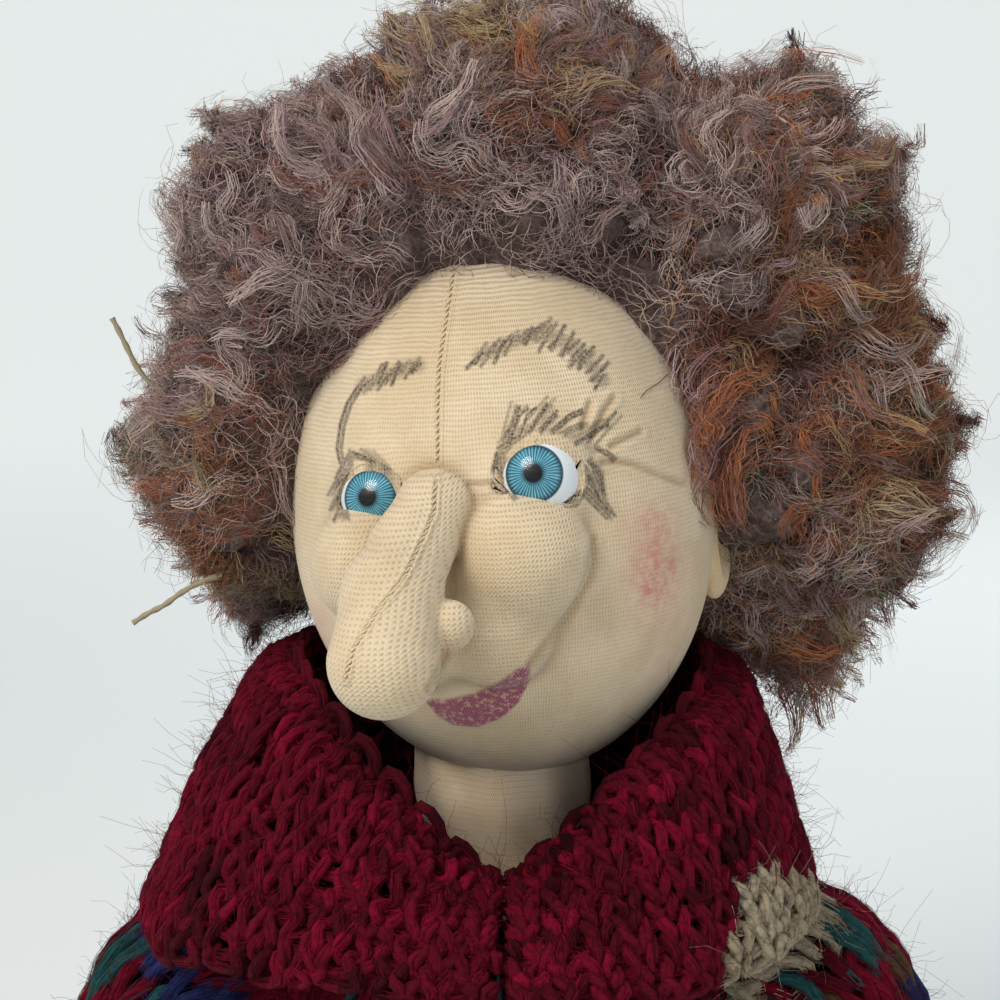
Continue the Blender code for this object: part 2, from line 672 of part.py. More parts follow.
# Upper arm below the bend: share of its length, width share, swell share
upper_arm_shares = ((0.0, 1.0, 1.0), (0.35, 1.0, 0.96), (0.72, 0.98, 0.74), (1.0, 0.94, 0.0))
forearm_shares = (
    (0.0, 0.94, 0.0),
    (0.25, 1.0, 0.80),
    (0.55, 0.96, 0.86),
    (0.85, 0.74, 0.74),
    (1.0, 0.66, 0.66),
)
hand_shares = ((0.25, 0.86, 0.86), (0.6, 1.0, 1.0), (0.85, 0.78, 0.80), (1.0, 0.36, 0.40))
thigh_shares = (
    (0.0, 0.80, 0.0),
    (0.12, 0.95, 0.62),
    (0.3, 1.0, 1.0),
    (0.6, 0.97, 0.96),
    (0.86, 0.90, 0.62),
    (1.0, 0.84, 0.0),
)
shin_shares = ((0.0, 0.86, 0.0), (0.14, 0.94, 0.66), (0.4, 1.0, 1.0), (0.7, 0.86, 0.86), (1.0, 0.72, 0.72))
arm_bend_shares = (0.85, 0.96, 1.0)
ARM_BEND_STEPS = 3
SLEEVE_BEND_STEPS = 4
SLEEVE_STOP_SHARE = 0.62
lower_sleeve_shares = (0.24, 0.76)
cuff_inside_shares = (0.92, 0.82)
CUFF_MOUTH_SHARE = 0.8
thumb_root_shares = (0.2, 0.25)
thumb_reach_shares = (0.85, 0.5)


def swell(width, height, width_share, swell_share):
    """Half-sizes of a stuffed section; a swell share of 0 is the flat stitched edge."""
    half_edge = STITCHED_EDGE / 2.0
    return (width / 2.0 * width_share, half_edge + (height / 2.0 - half_edge) * swell_share)


def make_arm(side, word):
    shoulder = empty("shoulder_" + word, (0.0, 0.0, SHOULDER_HEIGHT), Matrix.Rotation(-ARM_SWING, 3, "X"))
    elbow_drop = ARM_PIVOT_DROP + UPPER_ARM_LENGTH + HINGE_SLOT / 2.0
    elbow_place = (side * ARM_OFFSET, 0.0, -elbow_drop)
    elbow = empty("elbow_" + word, elbow_place, Matrix.Rotation(-ELBOW_BEND, 3, "X"), shoulder)
    make_upper_arm(side, word, shoulder)
    make_upper_sleeve(side, word, shoulder)
    make_forearm(side, word, elbow)
    make_lower_sleeve(word, elbow)


def make_upper_arm(side, word, shoulder):
    """Stuffed upper arm: sewn to the torso through the armhole, flat at the elbow."""
    inner_end = TORSO_WIDTH / 2.0 + CLEARANCE
    upright = Vector((0.0, 0.0, side))
    forward = Vector((0.0, 1.0, 0.0))
    root_path = [(Vector((side * inner_end, 0.0, 0.0)), upright, forward)]
    bend = shoulder_arc(side, ARM_PIVOT_DROP, ARM_BEND_STEPS)
    drops = [share * UPPER_ARM_LENGTH for share, _, _ in upper_arm_shares[1:]]
    down = straight_arm(side, ARM_PIVOT_DROP, drops)
    rows = [(ARMHOLE_RADIUS, ARMHOLE_RADIUS)] * 2
    rows += [(ARM_RADIUS * share, ARM_RADIUS * share) for share in arm_bend_shares]
    for _, width_share, swell_share in upper_arm_shares[1:]:
        rows.append(swell(2.0 * ARM_RADIUS, 2.0 * ARM_RADIUS, width_share, swell_share))
    mesh = skin("upper_arm_" + word, limb_sections(root_path + bend + down, rows))
    add_piece("upper_arm_" + word, mesh, calico, shoulder)


def make_upper_sleeve(side, word, shoulder):
    """Knitted tube over the upper arm, bent at the shoulder, stopping short of the elbow's fold."""
    stop = UPPER_ARM_LENGTH * SLEEVE_STOP_SHARE
    path = shoulder_arc(side, ARM_PIVOT_DROP, SLEEVE_BEND_STEPS)
    path += straight_arm(side, ARM_PIVOT_DROP, [stop / 2.0, stop])
    first_point, upright, forward = path[0]
    path[0] = (first_point + Vector((side * CLEARANCE, 0.0, 0.0)), upright, forward)
    inner = [(ARM_RADIUS + CLEARANCE, ARM_RADIUS + CLEARANCE)] * len(path)
    outer = [(ARM_RADIUS + SLEEVE_GAP, ARM_RADIUS + SLEEVE_GAP)] * len(path)
    mesh = tube_wall("sleeve_upper_" + word, path, outer, inner)
    add_piece("sleeve_upper_" + word, mesh, crimson, shoulder)


def down_path(drops):
    across = Vector((1.0, 0.0, 0.0))
    return [(Vector((0.0, 0.0, -drop)), across, Vector((0.0, -1.0, 0.0))) for drop in drops]


def make_forearm(side, word, elbow):
    """Stuffed forearm that runs on into a mitten hand with its thumb."""
    start = HINGE_SLOT / 2.0
    drops = [start + share * FOREARM_LENGTH for share, _, _ in forearm_shares]
    drops += [start + FOREARM_LENGTH + share * HAND_LENGTH for share, _, _ in hand_shares]
    rows = [swell(FOREARM_WIDTH, FOREARM_WIDTH, width, fill) for _, width, fill in forearm_shares]
    rows[0] = swell(2.0 * ARM_RADIUS, FOREARM_WIDTH, forearm_shares[0][1], 0.0)
    rows += [swell(HAND_THICKNESS, HAND_WIDTH, width, fill) for _, width, fill in hand_shares]
    mesh = skin("forearm_" + word, limb_sections(down_path(drops), rows))
    forearm = add_piece("forearm_" + word, mesh, cloth_skin, elbow)
    aside_share, down_share = thumb_root_shares
    out_share, drop_share = thumb_reach_shares
    root = Vector((0.0, -HAND_WIDTH * aside_share, -start - FOREARM_LENGTH - HAND_LENGTH * down_share))
    tip = root - Vector((0.0, THUMB_LENGTH * out_share, THUMB_LENGTH * drop_share))
    direction = (tip - root).normalized()
    across = Vector((1.0, 0.0, 0.0))
    through = direction.cross(across)
    thumb_shares = ((0.0, 0.9), (0.5, 1.0), (0.85, 0.8), (1.0, 0.4))
    sections = []
    for along, radius_share in thumb_shares:
        radius = THUMB_RADIUS * radius_share
        sections.append(oval(root.lerp(tip, along), across, through, radius, radius, LIMB_SIDES))
    thumb = add_cutter("thumb_" + word, skin("thumb_" + word, sections), elbow)
    combine(forearm, thumb, "UNION")


def make_lower_sleeve(word, elbow):
    """Knitted tube over the forearm, and the ribbed cuff below it."""
    start, finish = [FOREARM_LENGTH * share for share in lower_sleeve_shares]
    half_arm = FOREARM_WIDTH / 2.0
    sleeve_path = down_path([start, (start + finish) / 2.0, finish])
    inner = [(half_arm + CLEARANCE, half_arm + CLEARANCE)] * len(sleeve_path)
    outer = [(half_arm + SLEEVE_GAP, half_arm + SLEEVE_GAP)] * len(sleeve_path)
    mesh = tube_wall("sleeve_lower_" + word, sleeve_path, outer, inner)
    add_piece("sleeve_lower_" + word, mesh, crimson, elbow)
    cuff_path = down_path([finish + CLEARANCE, finish + CLEARANCE + CUFF_LENGTH])
    cuff_inner = [(half_arm * share, half_arm * share) for share in cuff_inside_shares]
    mouth = half_arm + SLEEVE_GAP * CUFF_MOUTH_SHARE
    cuff_outer = [(half_arm + SLEEVE_GAP, half_arm + SLEEVE_GAP), (mouth, mouth)]
    mesh = tube_wall("cuff_" + word, cuff_path, cuff_outer, cuff_inner)
    add_piece("cuff_" + word, mesh, crimson, elbow)


def forward_path(distances):
    across = Vector((-1.0, 0.0, 0.0))
    return [(Vector((0.0, -distance, 0.0)), across, Vector((0.0, 0.0, 1.0))) for distance in distances]


def table_rows(shares, width, height):
    return [swell(width, height, width_share, swell_share) for _, width_share, swell_share in shares]


def grown_rows(rows, growth):
    return [(half_across + growth, half_through + growth) for half_across, half_through in rows]


def trouser_tube(name, shares, size, finish, parent):
    """A stretch of trouser leg round a stuffed limb."""
    length, width, height = size
    rows = []
    distances = []
    for share in stations(shares, TROUSER_START / length, finish / length):
        width_share, swell_share = between_rows(shares, share)
        rows.append(swell(width, height, width_share, swell_share))
        distances.append(share * length + HINGE_SLOT / 2.0)
    inner = grown_rows(rows, TROUSER_EASE)
    outer = grown_rows(rows, TROUSER_EASE + TROUSER_CLOTH)
    mesh = tube_wall(name, forward_path(distances), outer, inner)
    add_piece(name, mesh, navy, parent)


def make_leg(side, word):
    splayed = Matrix.Rotation(side * LEG_SPLAY, 3, "Z")
    hip = empty("hip_" + word, (side * HIP_SPREAD, -HIP_DEPTH, HIP_HEIGHT), splayed)
    knee = empty("knee_" + word, (0.0, -THIGH_LENGTH - HINGE_SLOT, 0.0), None, hip)
    start = HINGE_SLOT / 2.0
    thigh_path = forward_path([start + share * THIGH_LENGTH for share, _, _ in thigh_shares])
    root_turn = Matrix.Rotation(-side * LEG_SPLAY, 3, "Z")
    thigh_path[0] = tuple(root_turn @ vector for vector in thigh_path[0])
    thigh_rows = table_rows(thigh_shares, THIGH_WIDTH, THIGH_HEIGHT)
    mesh = skin("thigh_" + word, limb_sections(thigh_path, thigh_rows))
    add_piece("thigh_" + word, mesh, calico, hip)
    thigh_stop = THIGH_LENGTH - TROUSER_START
    thigh_size = (THIGH_LENGTH, THIGH_WIDTH, THIGH_HEIGHT)
    trouser_tube("trouser_thigh_" + word, thigh_shares, thigh_size, thigh_stop, hip)
    shin_path = forward_path([start + share * SHIN_LENGTH for share, _, _ in shin_shares])
    shin_rows = table_rows(shin_shares, SHIN_WIDTH, SHIN_HEIGHT)
    mesh = skin("shin_" + word, limb_sections(shin_path, shin_rows))
    add_piece("shin_" + word, mesh, calico, knee)
    shin_stop = SHIN_LENGTH - BOOT_SHAFT_LENGTH - CLEARANCE
    shin_size = (SHIN_LENGTH, SHIN_WIDTH, SHIN_HEIGHT)
    trouser_tube("trouser_shin_" + word, shin_shares, shin_size, shin_stop, knee)
    make_boot(word, knee)


# Foot of the boot, ring by ring: level of its sole edge, reach and level of its instep edge, half-width
boot_foot_shares = (
    (-0.36, 0.80, 0.34, 0.54),
    (0.05, 0.95, 0.45, 0.55),
    (0.38, 0.98, 0.56, 0.54),
    (0.72, 0.94, 0.76, 0.52),
    (0.93, 0.78, 0.93, 0.46),
    (1.03, 0.52, 1.03, 0.28),
)
BOOT_SQUARENESS = 2.3
SOLE_SQUARENESS = 2.6
SOLE_SIDES = 16
SOLE_WIDTH_SHARE = 0.52
SOLE_HEEL_SHARE = 0.46
SOLE_TOE_SHARE = 0.98


def make_boot(word, knee):
    """A soft boot, its shaft round the shin and its toe up, with a felt sole."""
    top = SHIN_LENGTH - BOOT_SHAFT_LENGTH + HINGE_SLOT
    shaft_half = SHIN_WIDTH / 2.0 + BOOT_LEATHER
    across = Vector((-1.0, 0.0, 0.0))
    sole_face = SHIN_LENGTH + FOOT_THICKNESS
    ankle = top + BOOT_SHAFT_LENGTH
    upright = Vector((0.0, 0.0, 1.0))
    sections = []
    for distance in (top, ankle):
        centre = Vector((0.0, -distance, 0.0))
        sections.append(oval(centre, across, upright, shaft_half, shaft_half, LIMB_SIDES))
    for sole_share, reach_share, instep_share, width_share in boot_foot_shares:
        sole_edge = Vector((0.0, -sole_face, FOOT_HEIGHT * sole_share))
        instep_edge = Vector((0.0, -sole_face + FOOT_THICKNESS * reach_share, FOOT_HEIGHT * instep_share))
        through = (instep_edge - sole_edge).normalized()
        half_through = (instep_edge - sole_edge).length / 2.0
        middle = (instep_edge + sole_edge) / 2.0
        half_width = FOOT_WIDTH * width_share
        sections.append(oval(middle, across, through, half_width, half_through, LIMB_SIDES, BOOT_SQUARENESS))
    boot = add_piece("boot_" + word, skin("boot_" + word, sections), brown_leather, knee)
    room_rows = grown_rows(table_rows(shin_shares, SHIN_WIDTH, SHIN_HEIGHT), CLEARANCE)
    room_length = SHIN_LENGTH + CLEARANCE
    room_path = forward_path([HINGE_SLOT / 2.0 + share * room_length for share, _, _ in shin_shares])
    room_name = "shin_room_" + word
    room_mesh = skin(room_name, limb_sections(room_path, room_rows))
    combine(boot, add_cutter(room_name, room_mesh, knee), "DIFFERENCE")
    flat_face = sole_face - BOOT_SOLE_FLAT
    trim_start = Vector((0.0, -flat_face, FOOT_HEIGHT / 2.0))
    trim_end = trim_start - Vector((0.0, BOOT_SOLE_FLAT + CUT_OVERRUN, 0.0))
    trim_name = "sole_flat_" + word
    trim_mesh = round_bar(trim_name, trim_start, trim_end, 2.0 * FOOT_HEIGHT)
    combine(boot, add_cutter(trim_name, trim_mesh, knee), "DIFFERENCE")
    make_sole(word, knee, flat_face)


def make_sole(word, knee, sole_face):
    """A flat felt sole with rounded ends, upright under the boot's foot."""
    face = -sole_face - CLEARANCE
    half_width = FOOT_WIDTH * SOLE_WIDTH_SHARE
    lower = -SHIN_HEIGHT * SOLE_HEEL_SHARE
    upper = FOOT_HEIGHT * SOLE_TOE_SHARE
    middle = Vector((0.0, face, (lower + upper) / 2.0))
    half_length = (upper - lower) / 2.0
    across = Vector((-1.0, 0.0, 0.0))
    upright = Vector((0.0, 0.0, 1.0))
    front = oval(middle, across, upright, half_width, half_length, SOLE_SIDES, SOLE_SQUARENESS)
    back = [point + Vector((0.0, -SOLE_THICKNESS, 0.0)) for point in front]
    add_piece("sole_" + word, skin("sole_" + word, [front, back]), sole_dark, knee)


make_torso()
make_trouser_seat()
make_sweater_body()
make_sweater_hem()
make_collar()
make_neck()
head_centre = head_frame()
make_head(head_centre)
make_eyes(head_centre)
head_room = head_clearance(head_centre)
ear_rooms = make_ears(head_centre, head_room)
make_hair(head_room, ear_rooms)
for arm_side, arm_word in ((1.0, "left"), (-1.0, "right")):
    make_arm(arm_side, arm_word)
for leg_side, leg_word in ((1.0, "left"), (-1.0, "right")):
    make_leg(leg_side, leg_word)
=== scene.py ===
import math
import random

import bmesh
import bpy
import numpy as np
from mathutils import Matrix, Vector
from mathutils.bvhtree import BVHTree


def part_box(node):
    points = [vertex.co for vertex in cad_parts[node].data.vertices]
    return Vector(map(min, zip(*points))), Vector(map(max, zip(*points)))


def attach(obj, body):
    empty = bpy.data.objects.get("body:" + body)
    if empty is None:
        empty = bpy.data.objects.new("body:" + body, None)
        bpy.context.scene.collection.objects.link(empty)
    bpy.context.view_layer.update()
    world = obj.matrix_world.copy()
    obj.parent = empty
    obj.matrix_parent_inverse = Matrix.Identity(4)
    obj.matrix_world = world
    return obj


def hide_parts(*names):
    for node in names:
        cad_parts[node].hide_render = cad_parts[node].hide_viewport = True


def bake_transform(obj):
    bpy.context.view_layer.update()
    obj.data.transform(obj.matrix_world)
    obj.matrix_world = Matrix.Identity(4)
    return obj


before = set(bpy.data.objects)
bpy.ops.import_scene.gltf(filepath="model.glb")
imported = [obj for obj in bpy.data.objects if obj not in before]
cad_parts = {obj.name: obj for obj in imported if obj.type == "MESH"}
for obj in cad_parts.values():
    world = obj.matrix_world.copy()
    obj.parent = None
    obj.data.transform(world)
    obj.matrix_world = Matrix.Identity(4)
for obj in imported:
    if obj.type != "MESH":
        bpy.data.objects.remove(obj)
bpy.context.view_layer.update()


# Floor and backdrop
# A sheet of pale paper lies under the doll and rises behind it in one soft curve, as on
# a small photo table. It is cut wide enough to fill the view from every side.

PAPER_HALF_WIDTH = 3.0
PAPER_BEND_START = 1.1
PAPER_BEND_RADIUS = 0.9
PAPER_TOP = 2.6
PAPER_TURNS = 12
PAPER_GLOW_START = 0.40
PAPER_GLOW_FULL = 1.40
PAPER_GLOW = 0.36


def linear(colour):
    """The linear values of a colour written as on the web, such as '#dcc7a2'."""
    levels = [int(colour[place:place + 2], 16) / 255 for place in (1, 3, 5)]
    return tuple(level / 12.92 if level <= 0.04045 else ((level + 0.055) / 1.055) ** 2.4 for level in levels)


class Wire:
    """One output of a finish's nodes. Maths is written on it as on a number."""

    def __init__(self, finish, socket):
        self.finish = finish
        self.socket = socket

    def worked(self, operation, *terms):
        flat = all(getattr(getattr(term, "socket", None), "type", "VALUE") == "VALUE" for term in terms)
        plain = flat and not any(isinstance(term, tuple) for term in terms)
        if plain:
            return self.finish.node("ShaderNodeMath", {"operation": operation}, dict(enumerate(terms)))
        wide = [term if isinstance(term, (Wire, tuple)) else (term,) * 3 for term in terms]
        return self.finish.node("ShaderNodeVectorMath", {"operation": operation}, dict(enumerate(wide)))

    def __add__(self, other):
        return self.worked("ADD", self, other)

    def __sub__(self, other):
        return self.worked("SUBTRACT", self, other)

    def __rsub__(self, other):
        return self.worked("SUBTRACT", other, self)

    def __mul__(self, other):
        return self.worked("MULTIPLY", self, other)

    def __pow__(self, other):
        return self.worked("POWER", self, other)

    def __gt__(self, other):
        return self.worked("GREATER_THAN", self, other)

    __radd__ = __add__
    __rmul__ = __mul__

    def part(self, axis):
        """The x, y or z of a place."""
        return self.finish.node("ShaderNodeSeparateXYZ", {}, {0: self}, output="xyz".index(axis))

    def wave(self):
        return self.worked("SINE", self)

    def between(self, low, high):
        """0 below low, 1 above high and smooth in between."""
        values = {"Value": self, "From Min": low, "From Max": high}
        return self.finish.node("ShaderNodeMapRange", {"interpolation_type": "SMOOTHSTEP"}, values)


class Finish:
    """A material whose nodes come from one method."""

    def __init__(self, name, **looks):
        self.material = bpy.data.materials.new(name)
        self.material.use_nodes = True
        self.tree = self.material.node_tree
        self.shader = self.tree.nodes["Principled BSDF"]
        for socket, value in looks.items():
            self.look(socket.replace("_", " "), value)

    def feed(self, socket, value):
        if isinstance(value, Wire):
            self.tree.links.new(value.socket, socket)
        elif socket.type == "RGBA":
            socket.default_value = tuple(value)[:3] + (1.0,)
        elif socket.type == "VECTOR" and not hasattr(value, "__len__"):
            socket.default_value = (value,) * 3
        else:
            socket.default_value = value

    def node(self, kind, settings=None, values=None, output=0):
        made = self.tree.nodes.new(kind)
        for name, value in (settings or {}).items():
            if name == "stops":
                lay_stops(made.color_ramp, value)
            else:
                setattr(made, name, value)
        for name, value in (values or {}).items():
            self.feed(made.inputs[name], value)
        return Wire(self, made.outputs[output])

    def look(self, socket, value):
        """Sets or links a socket of the shader, such as its Base Color."""
        self.feed(self.shader.inputs[socket], value)

    def place(self):
        """The place on the piece, in its own metres."""
        return self.node("ShaderNodeTexCoord", output="Object")

    def noise(self, scale, detail=2.0, place=None, roughness=0.5):
        values = {"Scale": scale, "Detail": detail, "Roughness": roughness, "Vector": place or self.place()}
        return self.node("ShaderNodeTexNoise", {}, values)

    def mix(self, share, first, second):
        """The first colour where share is 0 and the second where it is 1."""
        return self.node("ShaderNodeMix", {"data_type": "RGBA"}, {0: share, 6: first, 7: second}, output=2)

    def ramp(self, value, stops):
        return self.node("ShaderNodeValToRGB", {"stops": stops}, {0: value})

    def mark(self, name, output="Fac"):
        """What the mesh holds under that name for each of its points."""
        return self.node("ShaderNodeAttribute", {"attribute_name": name}, output=output)

    def raise_by(self, height, depth):
        """Bump: height is from 0 to 1 and depth is in metres."""
        bump = self.node("ShaderNodeBump", {}, {"Height": height, "Distance": depth, "Strength": 1.0})
        self.look("Normal", bump)


def lay_stops(ramp, stops):
    """Puts (place, colour) stops on a colour ramp."""
    while len(ramp.elements) < len(stops):
        ramp.elements.new(1.0)
    for element, (place, colour) in zip(ramp.elements, stops):
        element.position = place
        element.color = tuple(linear(colour)) + (1.0,)


def new_object(name, mesh, finish):
    made = bpy.data.objects.new(name, mesh)
    bpy.context.scene.collection.objects.link(made)
    mesh.materials.append(finish.material)
    return made


def settle(piece, body, slot, nodes, bends=None):
    """Attaches a piece to the body it moves with, or with bends only fixes its place into its points, and
    hides the parts it stands for.
    """
    if bends:
        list(bends)
        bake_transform(piece)
    else:
        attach(piece, body)
    if nodes:
        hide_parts(*nodes)
    return piece


def mesh_of(name, points, faces, smooth=True):
    """A mesh of points and of faces that all have the same number of corners."""
    points = np.asarray(points, np.float32).reshape(-1, 3)
    faces = np.asarray(faces, np.int32)
    corners = faces.shape[1]
    mesh = bpy.data.meshes.new(name)
    mesh.vertices.add(len(points))
    mesh.vertices.foreach_set("co", points.ravel())
    mesh.loops.add(faces.size)
    mesh.loops.foreach_set("vertex_index", faces.ravel())
    mesh.polygons.add(len(faces))
    mesh.polygons.foreach_set("loop_start", np.arange(0, faces.size, corners, dtype=np.int32))
    mesh.polygons.foreach_set("use_smooth", np.full(len(faces), smooth, dtype=bool))
    mesh.update(calc_edges=True)
    mesh.validate()
    return mesh


paper = Finish("paper", Base_Color=linear("#e6eae8"), Roughness=0.9, Emission_Strength=1.0)
# Painted light: to the camera only, the paper glows, more the farther it lies from the doll, so that the far
# floor and backdrop look as brightly lit as the paper near it.
seen = paper.node("ShaderNodeLightPath", output="Is Camera Ray")
spot = paper.place()
far_away = (spot.part("x") * spot.part("x") + spot.part("y") * spot.part("y")) ** 0.5
glow = far_away.between(PAPER_GLOW_START, PAPER_GLOW_FULL) * PAPER_GLOW
paper.look("Emission Color", paper.mix(seen * glow, (0.0, 0.0, 0.0), (0.96, 1.0, 0.98)))

outline = [(-PAPER_HALF_WIDTH, 0.0), (PAPER_BEND_START, 0.0)]
for step in range(1, PAPER_TURNS + 1):
    bend = math.pi / 2 * step / PAPER_TURNS
    reach = PAPER_BEND_START + PAPER_BEND_RADIUS * math.sin(bend)
    outline.append((reach, PAPER_BEND_RADIUS * (1 - math.cos(bend))))
outline.append((PAPER_BEND_START + PAPER_BEND_RADIUS, PAPER_TOP))
sheet_points = [(side * PAPER_HALF_WIDTH, y, z) for y, z in outline for side in (-1, 1)]
sheet_faces = [(2 * row, 2 * row + 1, 2 * row + 3, 2 * row + 2) for row in range(len(outline) - 1)]
paper_sheet = new_object("paper_sheet", mesh_of("paper_sheet", sheet_points, sheet_faces), paper)


# Light and camera
# Soft daylight falls from a large window at the upper left and a wide pale room. The
# camera looks down on the head a little, from about an arm's length.

HEAD_CENTRE = Vector((0.0, 0.0, 0.175))
CAMERA_AIM = Vector((-0.0005, 0.0, 0.1773))
CAMERA_DISTANCE = 0.300
CAMERA_ELEVATION = math.radians(10.0)
CAMERA_LENS = 71.0
CAMERA_SENSOR = 36.0
PHOTO_PIXELS = 1000
ROOM_LIGHT = 0.50

sight = Vector((0.0, math.cos(CAMERA_ELEVATION), -math.sin(CAMERA_ELEVATION)))
camera_spot = CAMERA_AIM - sight * CAMERA_DISTANCE
camera_data = bpy.data.cameras.new("camera")
camera_data.lens = CAMERA_LENS
camera_data.sensor_width = CAMERA_SENSOR
camera_data.clip_start = 0.01
camera = bpy.data.objects.new("camera", camera_data)
camera.location = camera_spot
camera.rotation_euler = sight.to_track_quat("-Z", "Y").to_euler()
bpy.context.scene.collection.objects.link(camera)
bpy.context.scene.camera = camera


def photo_ray(x, y):
    """The way that the camera looks through a pixel of the photograph."""
    right = Vector((1.0, 0.0, 0.0))
    up = right.cross(sight)
    spread = CAMERA_SENSOR / CAMERA_LENS / PHOTO_PIXELS
    half = PHOTO_PIXELS / 2
    return (sight + right * (x - half) * spread - up * (y - half) * spread).normalized()


LAMPS = (
    ("window", (-0.50, -0.55, 0.85), 0.50, 7.0, "#fff9f2"),
    ("room_front", (0.60, -0.75, 0.45), 0.70, 1.3, "#f4f7ff"),
    ("room_back", (0.30, 0.75, 0.70), 0.60, 3.0, "#f6f8ff"),
)

for lamp_name, spot, size, power, colour in LAMPS:
    lamp_data = bpy.data.lights.new(lamp_name, "AREA")
    lamp_data.shape = "DISK"
    lamp_data.size = size
    lamp_data.energy = power
    lamp_data.color = linear(colour)
    lamp = bpy.data.objects.new(lamp_name, lamp_data)
    lamp.location = spot
    lamp.rotation_euler = (HEAD_CENTRE - Vector(spot)).to_track_quat("-Z", "Y").to_euler()
    bpy.context.scene.collection.objects.link(lamp)

world = bpy.data.worlds.new("room")
world.use_nodes = True
world.node_tree.nodes["Background"].inputs[0].default_value = (0.93, 0.96, 1.0, 1.0)
world.node_tree.nodes["Background"].inputs[1].default_value = ROOM_LIGHT
bpy.context.scene.world = world
bpy.context.scene.view_settings.view_transform = "Standard"


# Head
# Cream nylon jersey is stuffed hard, then drawn in with needle and thread: the long
# nose, its two wings and the two cheek pads are pinched up out of the same skin, and
# their edges are deep stitched creases. The face is drawn on with fabric pens.

HEAD_TURN = math.radians(-16.0)
HEAD_LEAN = math.radians(-5.0)
SKULL_RADII = (0.0320, 0.0318, 0.0398)
NOSE_PATH = (
    ((-0.0002, -0.0316, 0.0066), 0.0054),
    ((-0.0020, -0.0375, 0.0020), 0.0052),
    ((-0.0030, -0.0440, -0.0030), 0.0063),
    ((-0.0026, -0.0505, -0.0104), 0.0074),
)
WING_PLACE = (0.0044, -0.0436, -0.0072)
WING_RADIUS = 0.0034
PADS = (
    ((0.0106, -0.0280, -0.0010), (0.0096, 0.0093, 0.0092)),
    ((-0.0112, -0.0282, -0.0016), (0.0084, 0.0092, 0.0090)),
)
MUZZLE_PLACE = (0.0056, -0.0262, -0.0118)
MUZZLE_RADII = (0.0084, 0.0076, 0.0080)
EYE_PLACE = (0.0131, -0.0248, 0.0092)
FAR_EYE_DROP = 0.0021
FAR_EYE_INSET = 0.0037
FAR_EYE_RISE = 0.0012
EYE_RADIUS = 0.0063
LID_RADIUS = 0.0071
EYE_OPENINGS = {1: (0.0063, 0.0056), -1: (0.0050, 0.0056)}
EYE_CANTS = {1: math.radians(16.0), -1: math.radians(2.0)}
LID_FLARE = 0.45
LID_AHEAD = 0.0040
NOSE_FILLET = 0.0025
WING_FILLET = 0.0008
MUZZLE_FILLET = 0.0050
SOFT_FILLET = 0.0030
CREASE_FILLET = 0.0009
SKIN_CELL = 0.0008
DRAWN_MARGIN = 16
HATCH_SEED = 11

head_place = (
    Matrix.Translation(HEAD_CENTRE) @ Matrix.Rotation(HEAD_TURN, 4, "Z") @ Matrix.Rotation(HEAD_LEAN, 4, "Y")
)


def unit(ways):
    return ways / np.maximum(np.linalg.norm(ways, axis=-1), 1e-12)[..., None]


def xyz(x, y, z):
    """Points from their three coordinates, any of which may be one number for all."""
    return np.stack(np.broadcast_arrays(x, y, z), axis=-1)


def read_along(at, known, values):
    """Rows of values that are known at some places, read at others."""
    return np.stack([np.interp(at, known, column) for column in np.transpose(values)], axis=-1)


def lengths_along(line):
    """How far along a line each of its points lies."""
    return np.concatenate([[0.0], np.cumsum(np.linalg.norm(np.diff(line, axis=0), axis=1))])


def mirrored(place, side):
    return (place[0] * side, place[1], place[2])


def eye_spot(side):
    """The middle of an eye ball. The one on the doll's right is set a little lower."""
    if side < 0:
        return (FAR_EYE_INSET - EYE_PLACE[0], EYE_PLACE[1] - FAR_EYE_RISE, EYE_PLACE[2] - FAR_EYE_DROP)
    return EYE_PLACE


def egg(points, centre, radii):
    """Distance to an ellipsoid, near enough for shapes as round as these."""
    inner = (points - np.array(centre)) / np.array(radii)
    reach = np.linalg.norm(inner, axis=1)
    slope = np.linalg.norm(inner / np.array(radii), axis=1)
    return reach * (reach - 1.0) / np.maximum(slope, 1e-9)


def sausage(points, start, end, start_radius, end_radius):
    """Distance to a round bar that swells from one radius to the other."""
    start = np.array(start)
    along = np.array(end) - start
    share = np.clip((points - start) @ along / (along @ along), 0.0, 1.0)
    nearest = start + share[:, None] * along
    return np.linalg.norm(points - nearest, axis=1) - (start_radius + (end_radius - start_radius) * share)


def joined(first, second, fillet):
    """The two shapes as one, with a fillet of that size where they meet."""
    near = np.maximum(fillet - np.abs(first - second), 0.0) / fillet
    return np.minimum(first, second) - near * near * fillet / 4.0


def nose_skin(points):
    nose = None
    for (start, start_radius), (end, end_radius) in zip(NOSE_PATH, NOSE_PATH[1:]):
        stretch = sausage(points, start, end, start_radius, end_radius)
        nose = stretch if nose is None else joined(nose, stretch, NOSE_FILLET)
    for side in (-1, 1):
        nose = joined(nose, egg(points, mirrored(WING_PLACE, side), (WING_RADIUS,) * 3), WING_FILLET)
    return nose


def pads_skin(points):
    pads = None
    for (place, radii), side in zip(PADS, (1, -1)):
        muzzle = egg(points, mirrored(MUZZLE_PLACE, side), MUZZLE_RADII)
        pad = joined(egg(points, place, radii), muzzle, MUZZLE_FILLET)
        pads = pad if pads is None else joined(pads, pad, SOFT_FILLET)
    return pads


